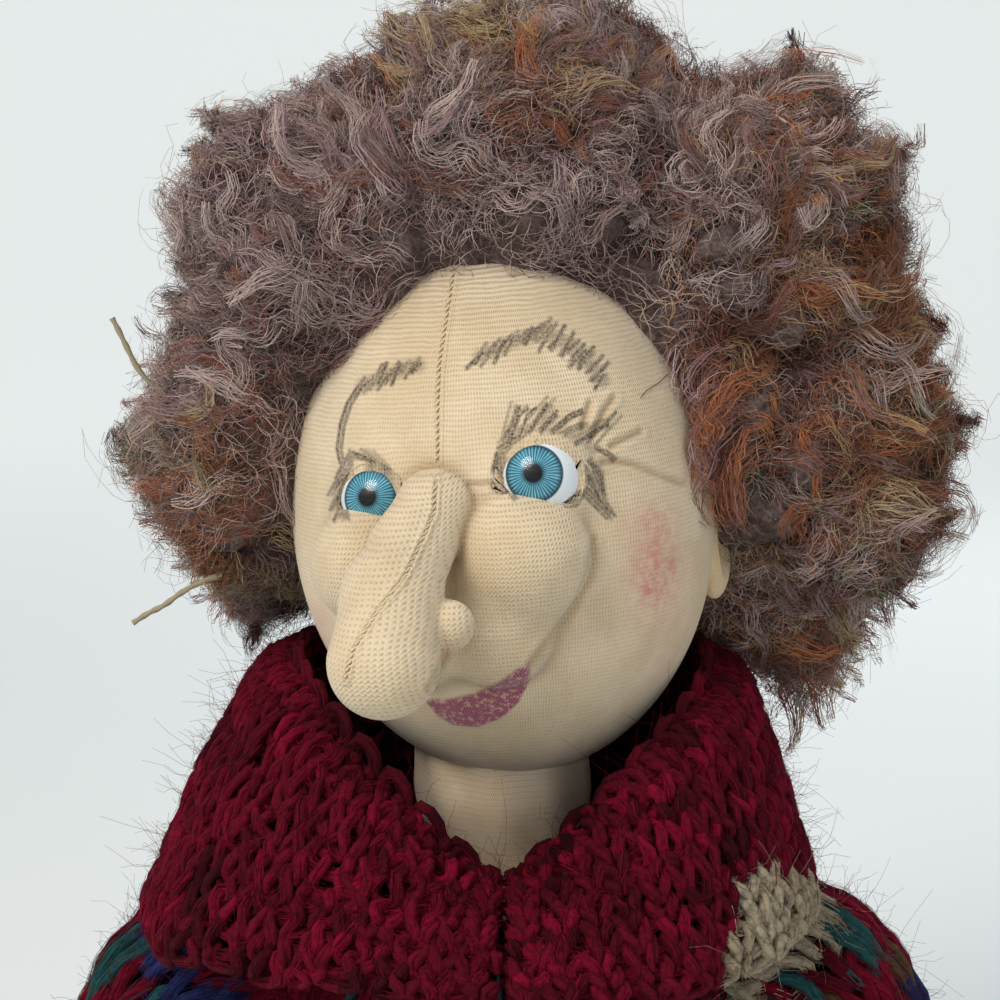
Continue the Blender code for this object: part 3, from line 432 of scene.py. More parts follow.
def head_skin(points):
    """Distance from the stuffed head's surface, in the head's own frame."""
    skull = egg(points, (0.0, 0.0, 0.0), SKULL_RADII)
    for side in (-1, 1):
        eye = eye_spot(side)
        skull = joined(skull, egg(points, eye, (LID_RADIUS,) * 3), SOFT_FILLET)
        offset = points - np.array(eye)
        cant = EYE_CANTS[side] * side
        half_across, half_up = EYE_OPENINGS[side]
        across = offset[:, 0] * math.cos(cant) + offset[:, 1] * math.sin(cant)
        ahead = offset[:, 0] * math.sin(cant) - offset[:, 1] * math.cos(cant)
        flare = 1.0 + LID_FLARE * np.maximum(ahead - LID_AHEAD, 0.0) / LID_AHEAD
        reach = np.hypot(across / half_across, offset[:, 2] / half_up) / flare
        opening = np.maximum((reach - 1.0) * half_up, -ahead)
        skull = -joined(-skull, opening, CREASE_FILLET)
    return joined(joined(skull, pads_skin(points), CREASE_FILLET), nose_skin(points), CREASE_FILLET)


def evened(mesh, cell):
    """The mesh's outer skin, made again of small quads of one size."""
    holder = bpy.data.objects.new(mesh.name, mesh)
    bpy.context.scene.collection.objects.link(holder)
    change = holder.modifiers.new("remesh", "REMESH")
    change.mode = "VOXEL"
    change.voxel_size = cell
    bpy.context.view_layer.update()
    result = bpy.data.meshes.new_from_object(holder.evaluated_get(bpy.context.evaluated_depsgraph_get()))
    bpy.data.objects.remove(holder)
    return result


def built(builder, name):
    """The mesh that a builder holds, under a name."""
    mesh = bpy.data.meshes.new(name)
    builder.to_mesh(mesh)
    builder.free()
    return mesh


def remeshed(name, rounds, cell):
    """One closed skin of small quads round several overlapping balls."""
    builder = bmesh.new()
    for centre, radii in rounds:
        place = Matrix.Translation(centre) @ Matrix.Diagonal((*radii, 1.0))
        bmesh.ops.create_icosphere(builder, subdivisions=4, radius=1.0, matrix=place)
    return evened(built(builder, name), cell)


def slopes(distance, points):
    """Which way the distance grows fastest at each point."""
    step = 1e-5
    here = distance(points)
    slope = np.empty_like(points)
    for axis in range(3):
        moved = points.copy()
        moved[:, axis] += step
        slope[:, axis] = (distance(moved) - here) / step
    return here, slope


def pulled_to(distance, points, rounds):
    """Moves points onto the surface where the distance is zero."""
    for _ in range(rounds):
        here, slope = slopes(distance, points)
        length = np.maximum((slope * slope).sum(axis=1), 0.2)
        points = points - np.clip(here / length, -0.001, 0.001)[:, None] * slope
    return points


def points_of(mesh):
    points = np.empty(len(mesh.vertices) * 3)
    mesh.vertices.foreach_get("co", points)
    return points.reshape(-1, 3)


def shape_to(mesh, points):
    """Moves the mesh's points there and shades it smooth."""
    mesh.vertices.foreach_set("co", np.asarray(points, np.float32).ravel())
    mesh.polygons.foreach_set("use_smooth", np.full(len(mesh.polygons), True))
    mesh.update()


def finer_where(mesh, wanted):
    """Halves each edge of the mesh whose two ends are wanted."""
    builder = bmesh.new()
    builder.from_mesh(mesh)
    edges = [edge for edge in builder.edges if wanted[edge.verts[0].index] and wanted[edge.verts[1].index]]
    bmesh.ops.subdivide_edges(builder, edges=edges, cuts=1, use_grid_fill=True)
    builder.to_mesh(mesh)
    builder.free()


def photo_places(points):
    """Where places of the room are seen in the photograph, in its pixels."""
    offset = points - np.array(camera_spot)
    forward = np.array(sight)
    right = np.array((1.0, 0.0, 0.0))
    up = np.cross(right, forward)
    depth = offset @ forward
    spread = PHOTO_PIXELS * CAMERA_LENS / CAMERA_SENSOR
    half = PHOTO_PIXELS / 2
    return np.stack([half + spread * (offset @ right) / depth, half - spread * (offset @ up) / depth], axis=1)


def moved_by(place, points):
    """Points taken from a piece's own frame to the room's."""
    matrix = np.array(place)
    return points @ matrix[:3, :3].T + matrix[:3, 3]


def from_line(points, line):
    """Distance from a line of several stretches, and how far along it the nearest place is."""
    best = np.full(len(points), 1e9)
    along_best = np.zeros(len(points))
    walked = 0.0
    for start, end in zip(line, line[1:]):
        start = np.array(start, float)
        stretch = np.array(end, float) - start
        length = np.linalg.norm(stretch)
        share = np.clip((points - start) @ stretch / length ** 2, 0.0, 1.0)
        reach = np.linalg.norm(points - start - share[:, None] * stretch, axis=1)
        closer = reach < best
        best[closer] = reach[closer]
        along_best[closer] = walked + share[closer] * length
        walked += length
    return best, along_best


def soft_step(value, low, high):
    share = np.clip((value - low) / (high - low), 0.0, 1.0)
    return share * share * (3.0 - 2.0 * share)


def bell(value, width, middle=0.0):
    """1 at the middle, and falling off on both sides within that width."""
    return np.exp(-((value - middle) / width) ** 2)


head_rounds = [((0.0, 0.0, 0.0), SKULL_RADII)]
for place, radius in NOSE_PATH:
    head_rounds.append((place, (radius,) * 3))
for (start, start_radius), (end, end_radius) in zip(NOSE_PATH, NOSE_PATH[1:]):
    middle = tuple((first + second) / 2 for first, second in zip(start, end))
    head_rounds.append((middle, ((start_radius + end_radius) / 2,) * 3))
for (place, radii), side in zip(PADS, (1, -1)):
    head_rounds.append((place, radii))
    head_rounds.append((mirrored(WING_PLACE, side), (WING_RADIUS,) * 3))
    head_rounds.append((mirrored(MUZZLE_PLACE, side), MUZZLE_RADII))
    head_rounds.append((eye_spot(side), (LID_RADIUS,) * 3))

# Lines of the face, in pixels of the photograph
STITCH_STEP = 6.8
SEAM_LINE = ((458, 240), (455, 265), (447, 318), (440, 362), (438, 406), (438, 462))
RIDGE_LINE = ((436, 480), (434, 512), (422, 540), (405, 576), (378, 611), (354, 649), (346, 680))
PUCKER_LINES = (
    ((603, 462), (632, 464), (655, 474), (682, 484)),
    ((592, 436), (604, 412), (614, 398)),
    ((583, 428), (590, 404)),
    ((612, 446), (640, 432)),
    ((470, 486), (488, 484), (503, 490)),
    ((594, 540), (588, 575), (574, 606), (552, 636), (530, 664)),
    ((446, 655), (440, 668), (428, 690)),
)
BROWS = (
    (((480, 357), (500, 347), (522, 338), (546, 333), (572, 346), (590, 363), (603, 381)), 46, (6, -8)),
    (((418, 365), (404, 369), (391, 374), (376, 380), (363, 386)), 25, (5, -7)),
)
PEN_LINES = (
    ((362, 384), (350, 402), (343, 424), (340, 448), (343, 462)),
    ((503, 444), (508, 424), (513, 405)),
    ((506, 440), (516, 420)),
    ((512, 436), (520, 414), (528, 408)),
    ((521, 433), (538, 414), (550, 400)),
    ((528, 431), (546, 404)),
    ((540, 430), (556, 413)),
    ((552, 431), (570, 416), (582, 411)),
    ((562, 434), (584, 424)),
    ((574, 439), (598, 424), (606, 420)),
    ((588, 444), (616, 414)),
    ((584, 466), (596, 488), (612, 514)),
    ((588, 476), (600, 500)),
    ((592, 462), (604, 478), (606, 494)),
    ((596, 452), (606, 457), (612, 462)),
    ((582, 488), (600, 506), (610, 516)),
    ((500, 452), (496, 470)),
    ((505, 486), (514, 500)),
    ((505, 468), (503, 484)),
    ((520, 436), (500, 448)),
    ((362, 452), (383, 467)),
    ((355, 456), (372, 462)),
    ((350, 452), (352, 466)),
    ((372, 456), (386, 470)),
    ((345, 462), (338, 476)),
    ((343, 470), (334, 484)),
    ((341, 482), (332, 496)),
    ((341, 496), (334, 510)),
    ((343, 506), (336, 522)),
    ((346, 470), (341, 500), (346, 520)),
)
SMUDGES = (
    (((500, 470), (502, 448), (512, 434), (530, 428)), 8, 0.55),
    (((530, 428), (556, 430), (580, 438), (594, 452)), 6, 0.35),
    (((508, 436), (516, 418)), 7, 0.50),
    (((540, 422), (552, 410)), 6, 0.45),
    (((590, 478), (602, 498), (608, 512)), 8, 0.40),
    (((345, 505), (341, 480), (348, 460), (366, 452), (380, 460)), 6, 0.50),
)
LIPS_TOP = ((426, 698), (449, 698), (476, 692), (500, 680), (517, 668), (530, 662))
LIPS_FOOT = ((426, 701), (437, 715), (454, 725), (477, 727), (502, 718), (519, 702), (530, 680))
BLUSHES = (
    ((655, 561), (25, 48), 0.78),
    ((668, 566), (8, 13), 0.60),
    ((652, 590), (9, 12), 0.60),
    ((662, 520), (12, 14), 0.35),
    ((665, 620), (45, 80), 0.22),
    ((640, 520), (26, 20), 0.15),
    ((318, 633), (9, 30), 0.55),
    ((441, 658), (5, 5), 0.60),
    ((500, 486), (6, 7), 0.75),
)

head_mesh = remeshed("head_skin", head_rounds, SKIN_CELL)
spots = pulled_to(head_skin, points_of(head_mesh), 5)
shape_to(head_mesh, spots)
front = (spots[:, 1] < -0.010) & (spots[:, 2] > -0.034) & (spots[:, 2] < 0.038)
finer_where(head_mesh, front)
spots = pulled_to(head_skin, points_of(head_mesh), 3)
pixels = photo_places(moved_by(head_place, spots))
drawn = np.full(len(spots), 1e9)
for line in PEN_LINES + tuple(brow[0] for brow in BROWS) + (SEAM_LINE, RIDGE_LINE):
    drawn = np.minimum(drawn, from_line(pixels, line)[0])
shape_to(head_mesh, spots)
finer_where(head_mesh, (drawn < DRAWN_MARGIN) & (spots[:, 1] < -0.004))
spots = pulled_to(head_skin, points_of(head_mesh), 2)

outward = unit(slopes(head_skin, spots)[1])
pixels = photo_places(moved_by(head_place, spots))
facing = (outward @ np.array((head_place.to_3x3().inverted() @ -sight)))
shown = soft_step(facing, 0.0, 0.15)
lift = np.zeros(len(spots))
for line in (SEAM_LINE, RIDGE_LINE):
    reach = from_line(pixels, line)[0]
    lift += shown * (0.00030 * bell(reach, 2.2, 3.4) - 0.00022 * bell(reach, 1.5))
for line in PUCKER_LINES:
    reach = from_line(pixels, line)[0]
    lift += shown * (0.00016 * bell(reach, 3.5, 7.0) - 0.00042 * bell(reach, 3.0))

pen = np.zeros(len(spots))
hatch = random.Random(HATCH_SEED)
for line in PEN_LINES:
    for _ in range(4):
        slip = np.array((hatch.gauss(0, 2.4), hatch.gauss(0, 2.4)))
        reach = from_line(pixels, np.array(line, float) + slip)[0]
        pen = np.maximum(pen, hatch.uniform(0.45, 1.0) * soft_step(-reach, -2.9, -0.5))
for arch, count, lean in BROWS:
    arch = np.array(arch, float)
    for step in np.linspace(0, len(arch) - 1, count):
        first = min(int(step), len(arch) - 2)
        middle = arch[first] + (arch[first + 1] - arch[first]) * (step - first)
        half = np.array(lean) * hatch.uniform(0.6, 1.25)
        half = half + np.array((hatch.gauss(0, 1.6), hatch.gauss(0, 1.2)))
        middle = middle + np.array((hatch.gauss(0, 2.4), hatch.gauss(0, 2.6)))
        reach = from_line(pixels, (middle - half, middle + half))[0]
        pen = np.maximum(pen, hatch.uniform(0.6, 1.0) * soft_step(-reach, -3.6, -0.7))
    pen = np.maximum(pen, 0.52 * soft_step(-from_line(pixels, arch)[0], -11.0, -3.0))
for line, width, strength in SMUDGES:
    reach = from_line(pixels, line)[0]
    pen = np.maximum(pen, strength * soft_step(-reach, -width, -width * 0.2))
pen *= shown

upper = np.interp(pixels[:, 0], *np.transpose(LIPS_TOP))
lower = np.interp(pixels[:, 0], *np.transpose(LIPS_FOOT))
inside = np.minimum(pixels[:, 1] - upper, lower - pixels[:, 1])
inside = np.minimum(inside, np.minimum(pixels[:, 0] - LIPS_TOP[0][0], LIPS_TOP[-1][0] - pixels[:, 0]) * 0.6)
lips = shown * soft_step(inside, -1.5, 2.5) * (spots[:, 1] > -0.040) * (spots[:, 1] < -0.015)
lift += 0.00025 * lips
blush = np.zeros(len(spots))
for place, radii, strength in BLUSHES:
    offset = (pixels - np.array(place)) / np.array(radii)
    blush += strength * np.exp(-(offset * offset).sum(axis=1))
blush = np.clip(blush, 0.0, 1.0) * (spots[:, 1] < -0.005)
nose_gap = nose_skin(spots)
pads_gap = pads_skin(spots)
skull_gap = egg(spots, (0.0, 0.0, 0.0), SKULL_RADII)
stretched = soft_step(-np.minimum(nose_gap, pads_gap), -0.0010, 0.0004)
# Painted shade: crease is darkest where the nose and the cheek pads sink into the skull, and darker along the
# puckers and in the seams' stitch holes.
crease = np.exp(-(nose_gap ** 2 + np.minimum(skull_gap, pads_gap) ** 2) / 0.0012 ** 2)
crease = np.maximum(crease, 0.8 * np.exp(-(pads_gap ** 2 + skull_gap ** 2) / 0.0011 ** 2))
for line in PUCKER_LINES:
    crease = np.maximum(crease, 0.7 * shown * bell(from_line(pixels, line)[0], 4.5))
for line in (SEAM_LINE, RIDGE_LINE):
    reach, along = from_line(pixels, line)
    holes = 0.5 - 0.5 * np.cos(along * (2 * math.pi / STITCH_STEP))
    crease = np.maximum(crease, shown * (0.35 + 0.55 * holes) * bell(reach, 2.0))

spots = spots + outward * lift[:, None]
shape_to(head_mesh, spots)


def tree_of(mesh, points):
    """The mesh's faces at those points, for finding places on them."""
    faces = [tuple(face.vertices) for face in mesh.polygons]
    return BVHTree.FromPolygons([tuple(point) for point in points], faces)


def keep_marks(mesh, **marks):
    """Stores a value from 0 to 1 for each point, for the mesh's finish to read."""
    for name, values in marks.items():
        layer = mesh.attributes.new(name, "FLOAT", "POINT")
        layer.data.foreach_set("value", np.asarray(values, np.float32))


keep_marks(head_mesh, pen=pen, lips=lips, blush=blush, stretched=stretched, crease=crease)


def jersey_finish(name, colour, shade, column, row, marked):
    """Fine knitted jersey, its columns running down and its stitches showing as small dents, with painted
    shade darkening the dents.
    """
    jersey = Finish(name, Roughness=0.88, Sheen_Weight=0.25, Sheen_Roughness=0.5)
    place = jersey.place()
    east = place.part("x")
    south = 0 - place.part("y")
    up = place.part("z")
    round_it = jersey.node("ShaderNodeMath", {"operation": "ARCTAN2"}, {0: east, 1: south}) * 0.034
    wander = (jersey.noise(260.0, 2.0, place) - 0.5) * 0.00065
    columns = ((round_it + wander) * (2 * math.pi / column)).wave()
    rows = ((up + wander) * (2 * math.pi / row)).wave()
    weave = (columns * rows) * 0.5 + 0.5
    fine = columns * 0.25 + 0.5
    soil = jersey.noise(90.0, 4.0, place, 0.6)
    fuzz = jersey.noise(2600.0, 2.0, place)
    if marked:
        stretch = jersey.mark("stretched")
        texture = fine + (weave - 0.5) * (0.40 + stretch * 0.60)
    else:
        texture = fine * 0.35 + weave * 0.65
    depth = texture * 0.8 + fuzz * 0.2
    cream = jersey.mix(soil.between(0.30, 0.75), linear(shade), linear(colour))
    # Painted shade: the dents between stitches are darkened towards #a98f66, by a share that changes in
    # patches.
    wear_and_dent_shade = jersey.noise(700.0, 2.0, place).between(0.30, 0.70)
    cream = jersey.mix((1 - texture).between(0.45, 1.0) * (0.34 + wear_and_dent_shade * 0.26), cream, linear("#a98f66"))
    if marked:
        # Painted shade: the creases are darkened towards #94754c.
        cream = jersey.mix(jersey.mark("crease") * 0.55, cream, linear("#94754c"))
        broken = 0.55 + fuzz.between(0.30, 0.65) * 0.45
        patchy = 0.35 + jersey.noise(620.0, 3.0, place, 0.7).between(0.35, 0.65) * 0.65
        cream = jersey.mix(jersey.mark("blush") * patchy * (0.5 + texture * 0.5), cream, linear("#c96f6c"))
        specks = jersey.noise(1300.0, 2.0, place, 0.6).between(0.50, 0.64)
        lip_share = jersey.mark("lips") * (1 - weave.between(0.60, 0.95) * 0.40) * (1 - specks * 0.55)
        cream = jersey.mix(lip_share * 0.95, cream, linear("#8e2a57"))
        cream = jersey.mix(jersey.mark("pen") * broken, cream, linear("#352519"))
    jersey.look("Base Color", cream)
    jersey.raise_by(depth, 0.00016)
    return jersey


jersey = jersey_finish("jersey", "#e3d0b0", "#d2bc97", 0.00052, 0.00066, True)
head = new_object("head_skin", head_mesh, jersey)
head.matrix_world = head_place
settle(head, "head", "face_jersey", ["head"])


# Seams of the face
# The head is two halves of jersey, sewn with short slanting stitches of cream thread
# that stand up along the brow and down the ridge of the nose.

STITCH_HALF = (2.8, 2.2)
SEAM_STITCH = ((-1.2, -0.00010), (-0.5, 0.00014), (0.5, 0.00014), (1.2, -0.00010))
THREAD_RADIUS = 0.00014

head_tree = tree_of(head_mesh, moved_by(head_place, spots))


def on_head(x, y):
    """The place on the head seen at a pixel of the photograph, and which way it faces."""
    return head_tree.ray_cast(camera_spot, photo_ray(x, y))[:2]


def ring_quads(shape):
    """Quads between neighbouring rings of points, numbered as in an array of that shape."""
    index = np.arange(math.prod(shape)).reshape(shape)
    turned = np.roll(index, -1, axis=-1)
    rows = [index[..., :-1, :], turned[..., :-1, :], turned[..., 1:, :], index[..., 1:, :]]
    return np.stack(rows, axis=-1).reshape(-1, 4)


def tubes(paths, radii, sides, over=None, ply=0.0, twist=0.0):
    """Points and quads of round tubes: paths is tubes by steps by xyz, and radii tubes by steps.

    over is a way that each step's ring starts from. ply swells two sides of the ring, as in
    yarn of two strands, and twist is how far they turn at each step.
    """
    count, steps, _ = paths.shape
    ahead = unit(np.gradient(paths, axis=1))
    if over is None:
        over = np.where(np.abs(ahead[:, :1, 2:3]) > 0.9, (1.0, 0.0, 0.0), (0.0, 0.0, 1.0))
        over = np.broadcast_to(over, ahead.shape)
    side = np.cross(ahead, over)
    weak = np.linalg.norm(side, axis=2) < 0.05
    side[weak] = np.cross(ahead[weak], np.array((0.31, 0.95, 0.05)))
    side = unit(side)
    over = np.cross(side, ahead)
    turns = np.arange(sides) * (2 * math.pi / sides)
    ring = side[:, :, None] * np.cos(turns)[:, None] + over[:, :, None] * np.sin(turns)[:, None]
    swell = 1.0 + ply * np.cos(2.0 * (turns[None] - twist * np.arange(steps)[:, None]))
    points = paths[:, :, None] + ring * radii[:, :, None, None] * swell[None, :, :, None]
    return points, ring_quads((count, steps, sides))


seam_paths = []
for line in (SEAM_LINE, RIDGE_LINE):
    line = np.array(line, float)
    lengths = lengths_along(line)
    for walked in np.arange(STITCH_STEP, lengths[-1], STITCH_STEP):
        middle = read_along(walked, lengths, line)
        ends = [on_head(*(middle + np.array(STITCH_HALF) * share * (1, -1))) for share, _ in SEAM_STITCH]
        if all(spot is not None for spot, _ in ends):
            seam_paths.append([spot + normal * rise for (spot, normal), (_, rise) in zip(ends, SEAM_STITCH)])
seam_paths = np.array(seam_paths)
seam_mesh = mesh_of("face_seam_stitches", *tubes(seam_paths, np.full(seam_paths.shape[:2], THREAD_RADIUS), 6))
cream_thread = Finish("cream_thread", Base_Color=linear("#dccaa6"), Roughness=0.8)
settle(new_object("face_seam_stitches", seam_mesh, cream_thread), "head", "face_jersey", None)


# Eyes
# Glass doll's eyes: a smooth white ball with a printed blue iris, under a clear dome
# that catches the window. They are set into slits of the jersey and held by its edge.

IRIS_RADIUS = 0.0039
PUPIL_RADIUS = 0.00125
DOME_INNER = 0.00633
DOME_OUTER = 0.0065
DOME_REACH = 0.25
GAZE_PIXELS = ((533, 473), (367, 497))
POLES_AHEAD = Matrix.Rotation(math.pi / 2, 4, "X")


def ball_mesh(name, radius):
    builder = bmesh.new()
    bmesh.ops.create_uvsphere(builder, u_segments=64, v_segments=40, radius=radius, matrix=POLES_AHEAD)
    for face in builder.faces:
        face.smooth = True
    return built(builder, name)


def dome_mesh(name):
    """The front of a clear ball: an outer and an inner skin, closed along the rim."""
    builder = bmesh.new()
    for radius in (DOME_OUTER, DOME_INNER):
        made = bmesh.ops.create_uvsphere(
            builder, u_segments=48, v_segments=32, radius=radius, matrix=POLES_AHEAD
        )
        behind = [vert for vert in made["verts"] if vert.co.y > -radius * DOME_REACH]
        bmesh.ops.delete(builder, geom=behind, context="VERTS")
    inner = [face for face in builder.faces if face.verts[0].co.length < (DOME_INNER + DOME_OUTER) / 2]
    bmesh.ops.reverse_faces(builder, faces=inner)
    bmesh.ops.bridge_loops(builder, edges=[edge for edge in builder.edges if edge.is_boundary])
    for face in builder.faces:
        face.smooth = True
    return built(builder, name)


eye_glaze = Finish(
    "printed_eye", Roughness=0.35, Specular_IOR_Level=0.2, Coat_Weight=0.45, Coat_Roughness=0.07,
)
place = eye_glaze.place()
east = place.part("x")
up = place.part("z")
ahead = (0 - place.part("y")) > 0.0
reach = (east * east + up * up) ** 0.5
turn = eye_glaze.node("ShaderNodeMath", {"operation": "ARCTAN2"}, {0: east, 1: up})
spokes = eye_glaze.node("ShaderNodeCombineXYZ", {}, {0: turn * 9.0, 1: reach * 260.0, 2: 0.0})
streaks = eye_glaze.noise(1.6, 3.0, spokes, 0.6)
rays = (turn * 44.0).wave() * 0.5 + 0.5
blue = eye_glaze.ramp(streaks * 0.65 + rays * 0.35, (
    (0.25, "#1d4a5f"), (0.45, "#31738b"), (0.62, "#5fa5b7"), (0.85, "#a9d2da"),
))
blue = eye_glaze.mix(reach.between(IRIS_RADIUS * 0.80, IRIS_RADIUS), blue, linear("#173846"))
blue = eye_glaze.mix(1 - reach.between(PUPIL_RADIUS * 0.9, PUPIL_RADIUS * 1.6), blue, linear("#1b4152"))
blue = eye_glaze.mix(1 - reach.between(PUPIL_RADIUS * 0.95, PUPIL_RADIUS * 1.08), blue, linear("#07090b"))
iris_share = (1 - reach.between(IRIS_RADIUS * 0.98, IRIS_RADIUS * 1.04)) * ahead
eye_glaze.look("Base Color", eye_glaze.mix(iris_share, linear("#dfe6e8"), blue))

dome_glass = Finish(
    "dome_glass", Base_Color=(1.0, 1.0, 1.0), Roughness=0.0, Transmission_Weight=1.0, IOR=1.08,
)

for side, word, gaze in ((1, "left", GAZE_PIXELS[0]), (-1, "right", GAZE_PIXELS[1])):
    spot = head_place @ Vector(eye_spot(side))
    target = photo_ray(*gaze)
    along = (spot - camera_spot).dot(target)
    nearest = camera_spot + target * along
    back = math.sqrt(max(EYE_RADIUS ** 2 - (nearest - spot).length_squared, 0.0))
    gaze_way = (nearest - target * back - spot).normalized()
    turn = gaze_way.to_track_quat("-Y", "Z").to_matrix().to_4x4()
    eye = new_object("printed_eye_" + word, ball_mesh("printed_eye_" + word, EYE_RADIUS), eye_glaze)
    dome = new_object("clear_dome_" + word, dome_mesh("clear_dome_" + word), dome_glass)
    for piece, slot in ((eye, "eye_ball"), (dome, "eye_dome")):
        piece.matrix_world = Matrix.Translation(spot) @ turn
        settle(piece, "head", slot, [slot + "_" + word])
    dome.visible_shadow = False
    dome.visible_diffuse = False


# Ears
# Two flat pads of the same jersey, sewn to the sides of the head, with a dent pressed
# into each by a few stitches. The wool covers all but their lobes.

EAR_PLACE = (0.0306, 0.0060, -0.0084)
EAR_RADII = (0.0026, 0.0050, 0.0066)
EAR_DENT_SHIFT = (0.0030, -0.0008, 0.0012)
EAR_DENT_RADII = (0.0022, 0.0026, 0.0044)
EAR_FILLET = 0.0012
EAR_CELL = 0.0004

plain_jersey = jersey_finish("ear_jersey", "#dcc49a", "#cfb389", 0.00046, 0.00056, False)


def ear_skin(points):
    """Distance from the ear's surface on the side where x is above zero."""
    dent = egg(points, np.add(EAR_PLACE, EAR_DENT_SHIFT), EAR_DENT_RADII)
    return -joined(-egg(points, EAR_PLACE, EAR_RADII), dent, EAR_FILLET)


for side, word in ((1, "left"), (-1, "right")):
    ear_mesh = remeshed("ear_pad_" + word, [(mirrored(EAR_PLACE, side), EAR_RADII)], EAR_CELL)
    shape_to(ear_mesh, pulled_to(ear_skin, points_of(ear_mesh) * (side, 1, 1), 5) * (side, 1, 1))
    ear = new_object("ear_pad_" + word, ear_mesh, plain_jersey)
    ear.matrix_world = head_place
    settle(ear, "head", "face_jersey", ["ear_" + word])


# Wool hair
# Carded, unspun wool in natural greys and dyed shades is sewn on round the head and
# teased into soft round clumps with a frizzy edge. A few ends of beige yarn are left in it.

HAIR_NODES = (
    "hair_crown", "hair_top_left", "hair_top_right", "hair_side_left", "hair_side_right",
    "hair_low_left", "hair_low_right", "hair_back", "hair_nape",
)
WOOL_ROWS = 240
WOOL_COLUMNS = 480
WOOL_CELL = 0.0012
WOOL_ALL_ROUND = 0.0015
WELL_OUTSIDE = 0.2
CLOSED_SHARE = 0.56
THIN_WOOL = 0.0030
NAPE_ROOM = 0.0030
FIELD_CELL = 0.0020
CLUMPS = 190
CLUMP_RADIUS = 0.0075
VALLEY_WIDTH = 0.0014
CLUMP_RISE = 0.0042
CLUMP_DROP = 0.0036
RUFFLES = 14
RUFFLE_RISE = 0.00018
FLOW_AWAY = 1.3
BARE_SHARE = 0.30
UNDERLAYER_DEPTH = 0.0014
LAID_FIBRES = 42000
LAID_POINTS = 9
LAID_WIDTH = 0.000090
LAID_RUN = {"lengths": (0.004, 0.009), "wander": 1.4}
LAID_CURL = {"curl_sizes": (0.00015, 0.00085), "curl_lengths": (0.0032, 0.0065)}
LOCKS = 2500
LOCK_FIBRES = 20
LOCK_POINTS = 12
LOCK_SPREAD = 0.0025
LOCK_FIBRE_WIDTH = 0.000105
LOCK_MARKS = (0.10, 0.62)
LOCK_RUN = {"lengths": (0.010, 0.024), "wander": 0.8}
LOCK_CURL = {"curl_sizes": (0.0004, 0.0014), "curl_lengths": (0.0060, 0.0110)}
FREE_FIBRES = 12500
FREE_POINTS = 10
FREE_RADIUS = 0.000045
FREE_SIDES = 3
FREE_RUN = {"lengths": (0.007, 0.017), "wander": 0.9}
FREE_CURL = {"curl_sizes": (0.0003, 0.0011), "curl_lengths": (0.0040, 0.0075)}
LAID_PER_PIECE = 8500
FREE_PER_PIECE = 2500
STRAND_MARK = 0.0016
WOOL_SHADES = (
    (0.00, "#564441"), (0.10, "#8f7872"), (0.20, "#bba89f"), (0.30, "#92757a"), (0.40, "#70483d"),
    (0.50, "#83533a"), (0.60, "#a8603a"), (0.70, "#a07a58"), (0.80, "#ac9470"), (0.90, "#6c7c66"),
    (1.00, "#dccdaa"),
)
GREY_PLACES = (0.02, 0.09, 0.14, 0.20, 0.26, 0.32, 0.40, 0.76)
GREY_CHANCES = (0.17, 0.20, 0.18, 0.15, 0.10, 0.07, 0.10, 0.03)
WARM_PLACES = (0.40, 0.46, 0.53, 0.61, 0.70, 0.80, 0.90, 0.12)
WARM_CHANCES = (0.20, 0.19, 0.14, 0.09, 0.13, 0.11, 0.04, 0.10)

dice = np.random.default_rng(7)
middle = np.array(HEAD_CENTRE)
head_turned = np.array(head_place.to_3x3())


def hair_reach():
    """For a direction from the middle of the head, how far out the wool reaches there."""
    points, faces = [], []
    for name in HAIR_NODES:
        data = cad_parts[name].data
        first = len(points)
        points += [tuple(vert.co) for vert in data.vertices]
        faces += [[first + corner for corner in face.vertices] for face in data.polygons]
    tree = BVHTree.FromPolygons(points, faces)

    def reach(way):
        way = Vector(way)
        spot = tree.ray_cast(HEAD_CENTRE + way * WELL_OUTSIDE, -way)[0]
        if spot is None or (spot - HEAD_CENTRE).dot(way) < 0.0:
            return 0.0
        return (spot - HEAD_CENTRE).length
    return reach


def skull_share(offsets):
    """1 on the stuffed skull, and more outside it, for offsets from its middle."""
    return np.linalg.norm((offsets @ head_turned) / np.array(SKULL_RADII), axis=-1)


polar = (np.arange(WOOL_ROWS + 1) / WOOL_ROWS * math.pi)[:, None]
azimuth = (np.arange(WOOL_COLUMNS) / WOOL_COLUMNS * 2 * math.pi)[None]
level = np.sin(polar)
grid_ways = xyz(level * np.cos(azimuth), level * np.sin(azimuth), np.cos(polar))
reach_of = hair_reach()
solid_reach = np.array([[reach_of(way) for way in row] for row in grid_ways])
skull_reach = 1.0 / skull_share(grid_ways)
wooly = solid_reach > skull_reach + 0.002


def blurred(grid, rounds):
    for _ in range(rounds):
        grid = (grid * 2 + np.roll(grid, 1, axis=1) + np.roll(grid, -1, axis=1)) / 4
        grid[1:-1] = (grid[1:-1] * 2 + grid[:-2] + grid[2:]) / 4
        grid[0] = grid[1].mean()
        grid[-1] = grid[-2].mean()
    return grid


wooly |= blurred(wooly * 1.0, 60) > CLOSED_SHARE
full = np.where(wooly, np.maximum(solid_reach, skull_reach + THIN_WOOL), skull_reach)
wool_share = np.maximum(blurred(wooly * 1.0, 420), 0.02)
even = np.maximum(blurred(full * wooly, 420) / wool_share, full)
inland = np.clip(blurred(wooly * 1.0, 14) * 2.0 - 1.0, 0.0, 1.0)
nape = soft_step(-grid_ways[..., 2], 0.10, 0.40) * soft_step(grid_ways[..., 1], -0.25, 0.20)
full = np.where(wooly, full + (even - full) * 0.9 * inland * (1 - nape), full)
over_face = blurred(wooly * 1.0, 20)
thickness = full - skull_reach
wool_reach = np.maximum(blurred(full, 4) - NAPE_ROOM * nape * wooly, skull_reach * 0.97)


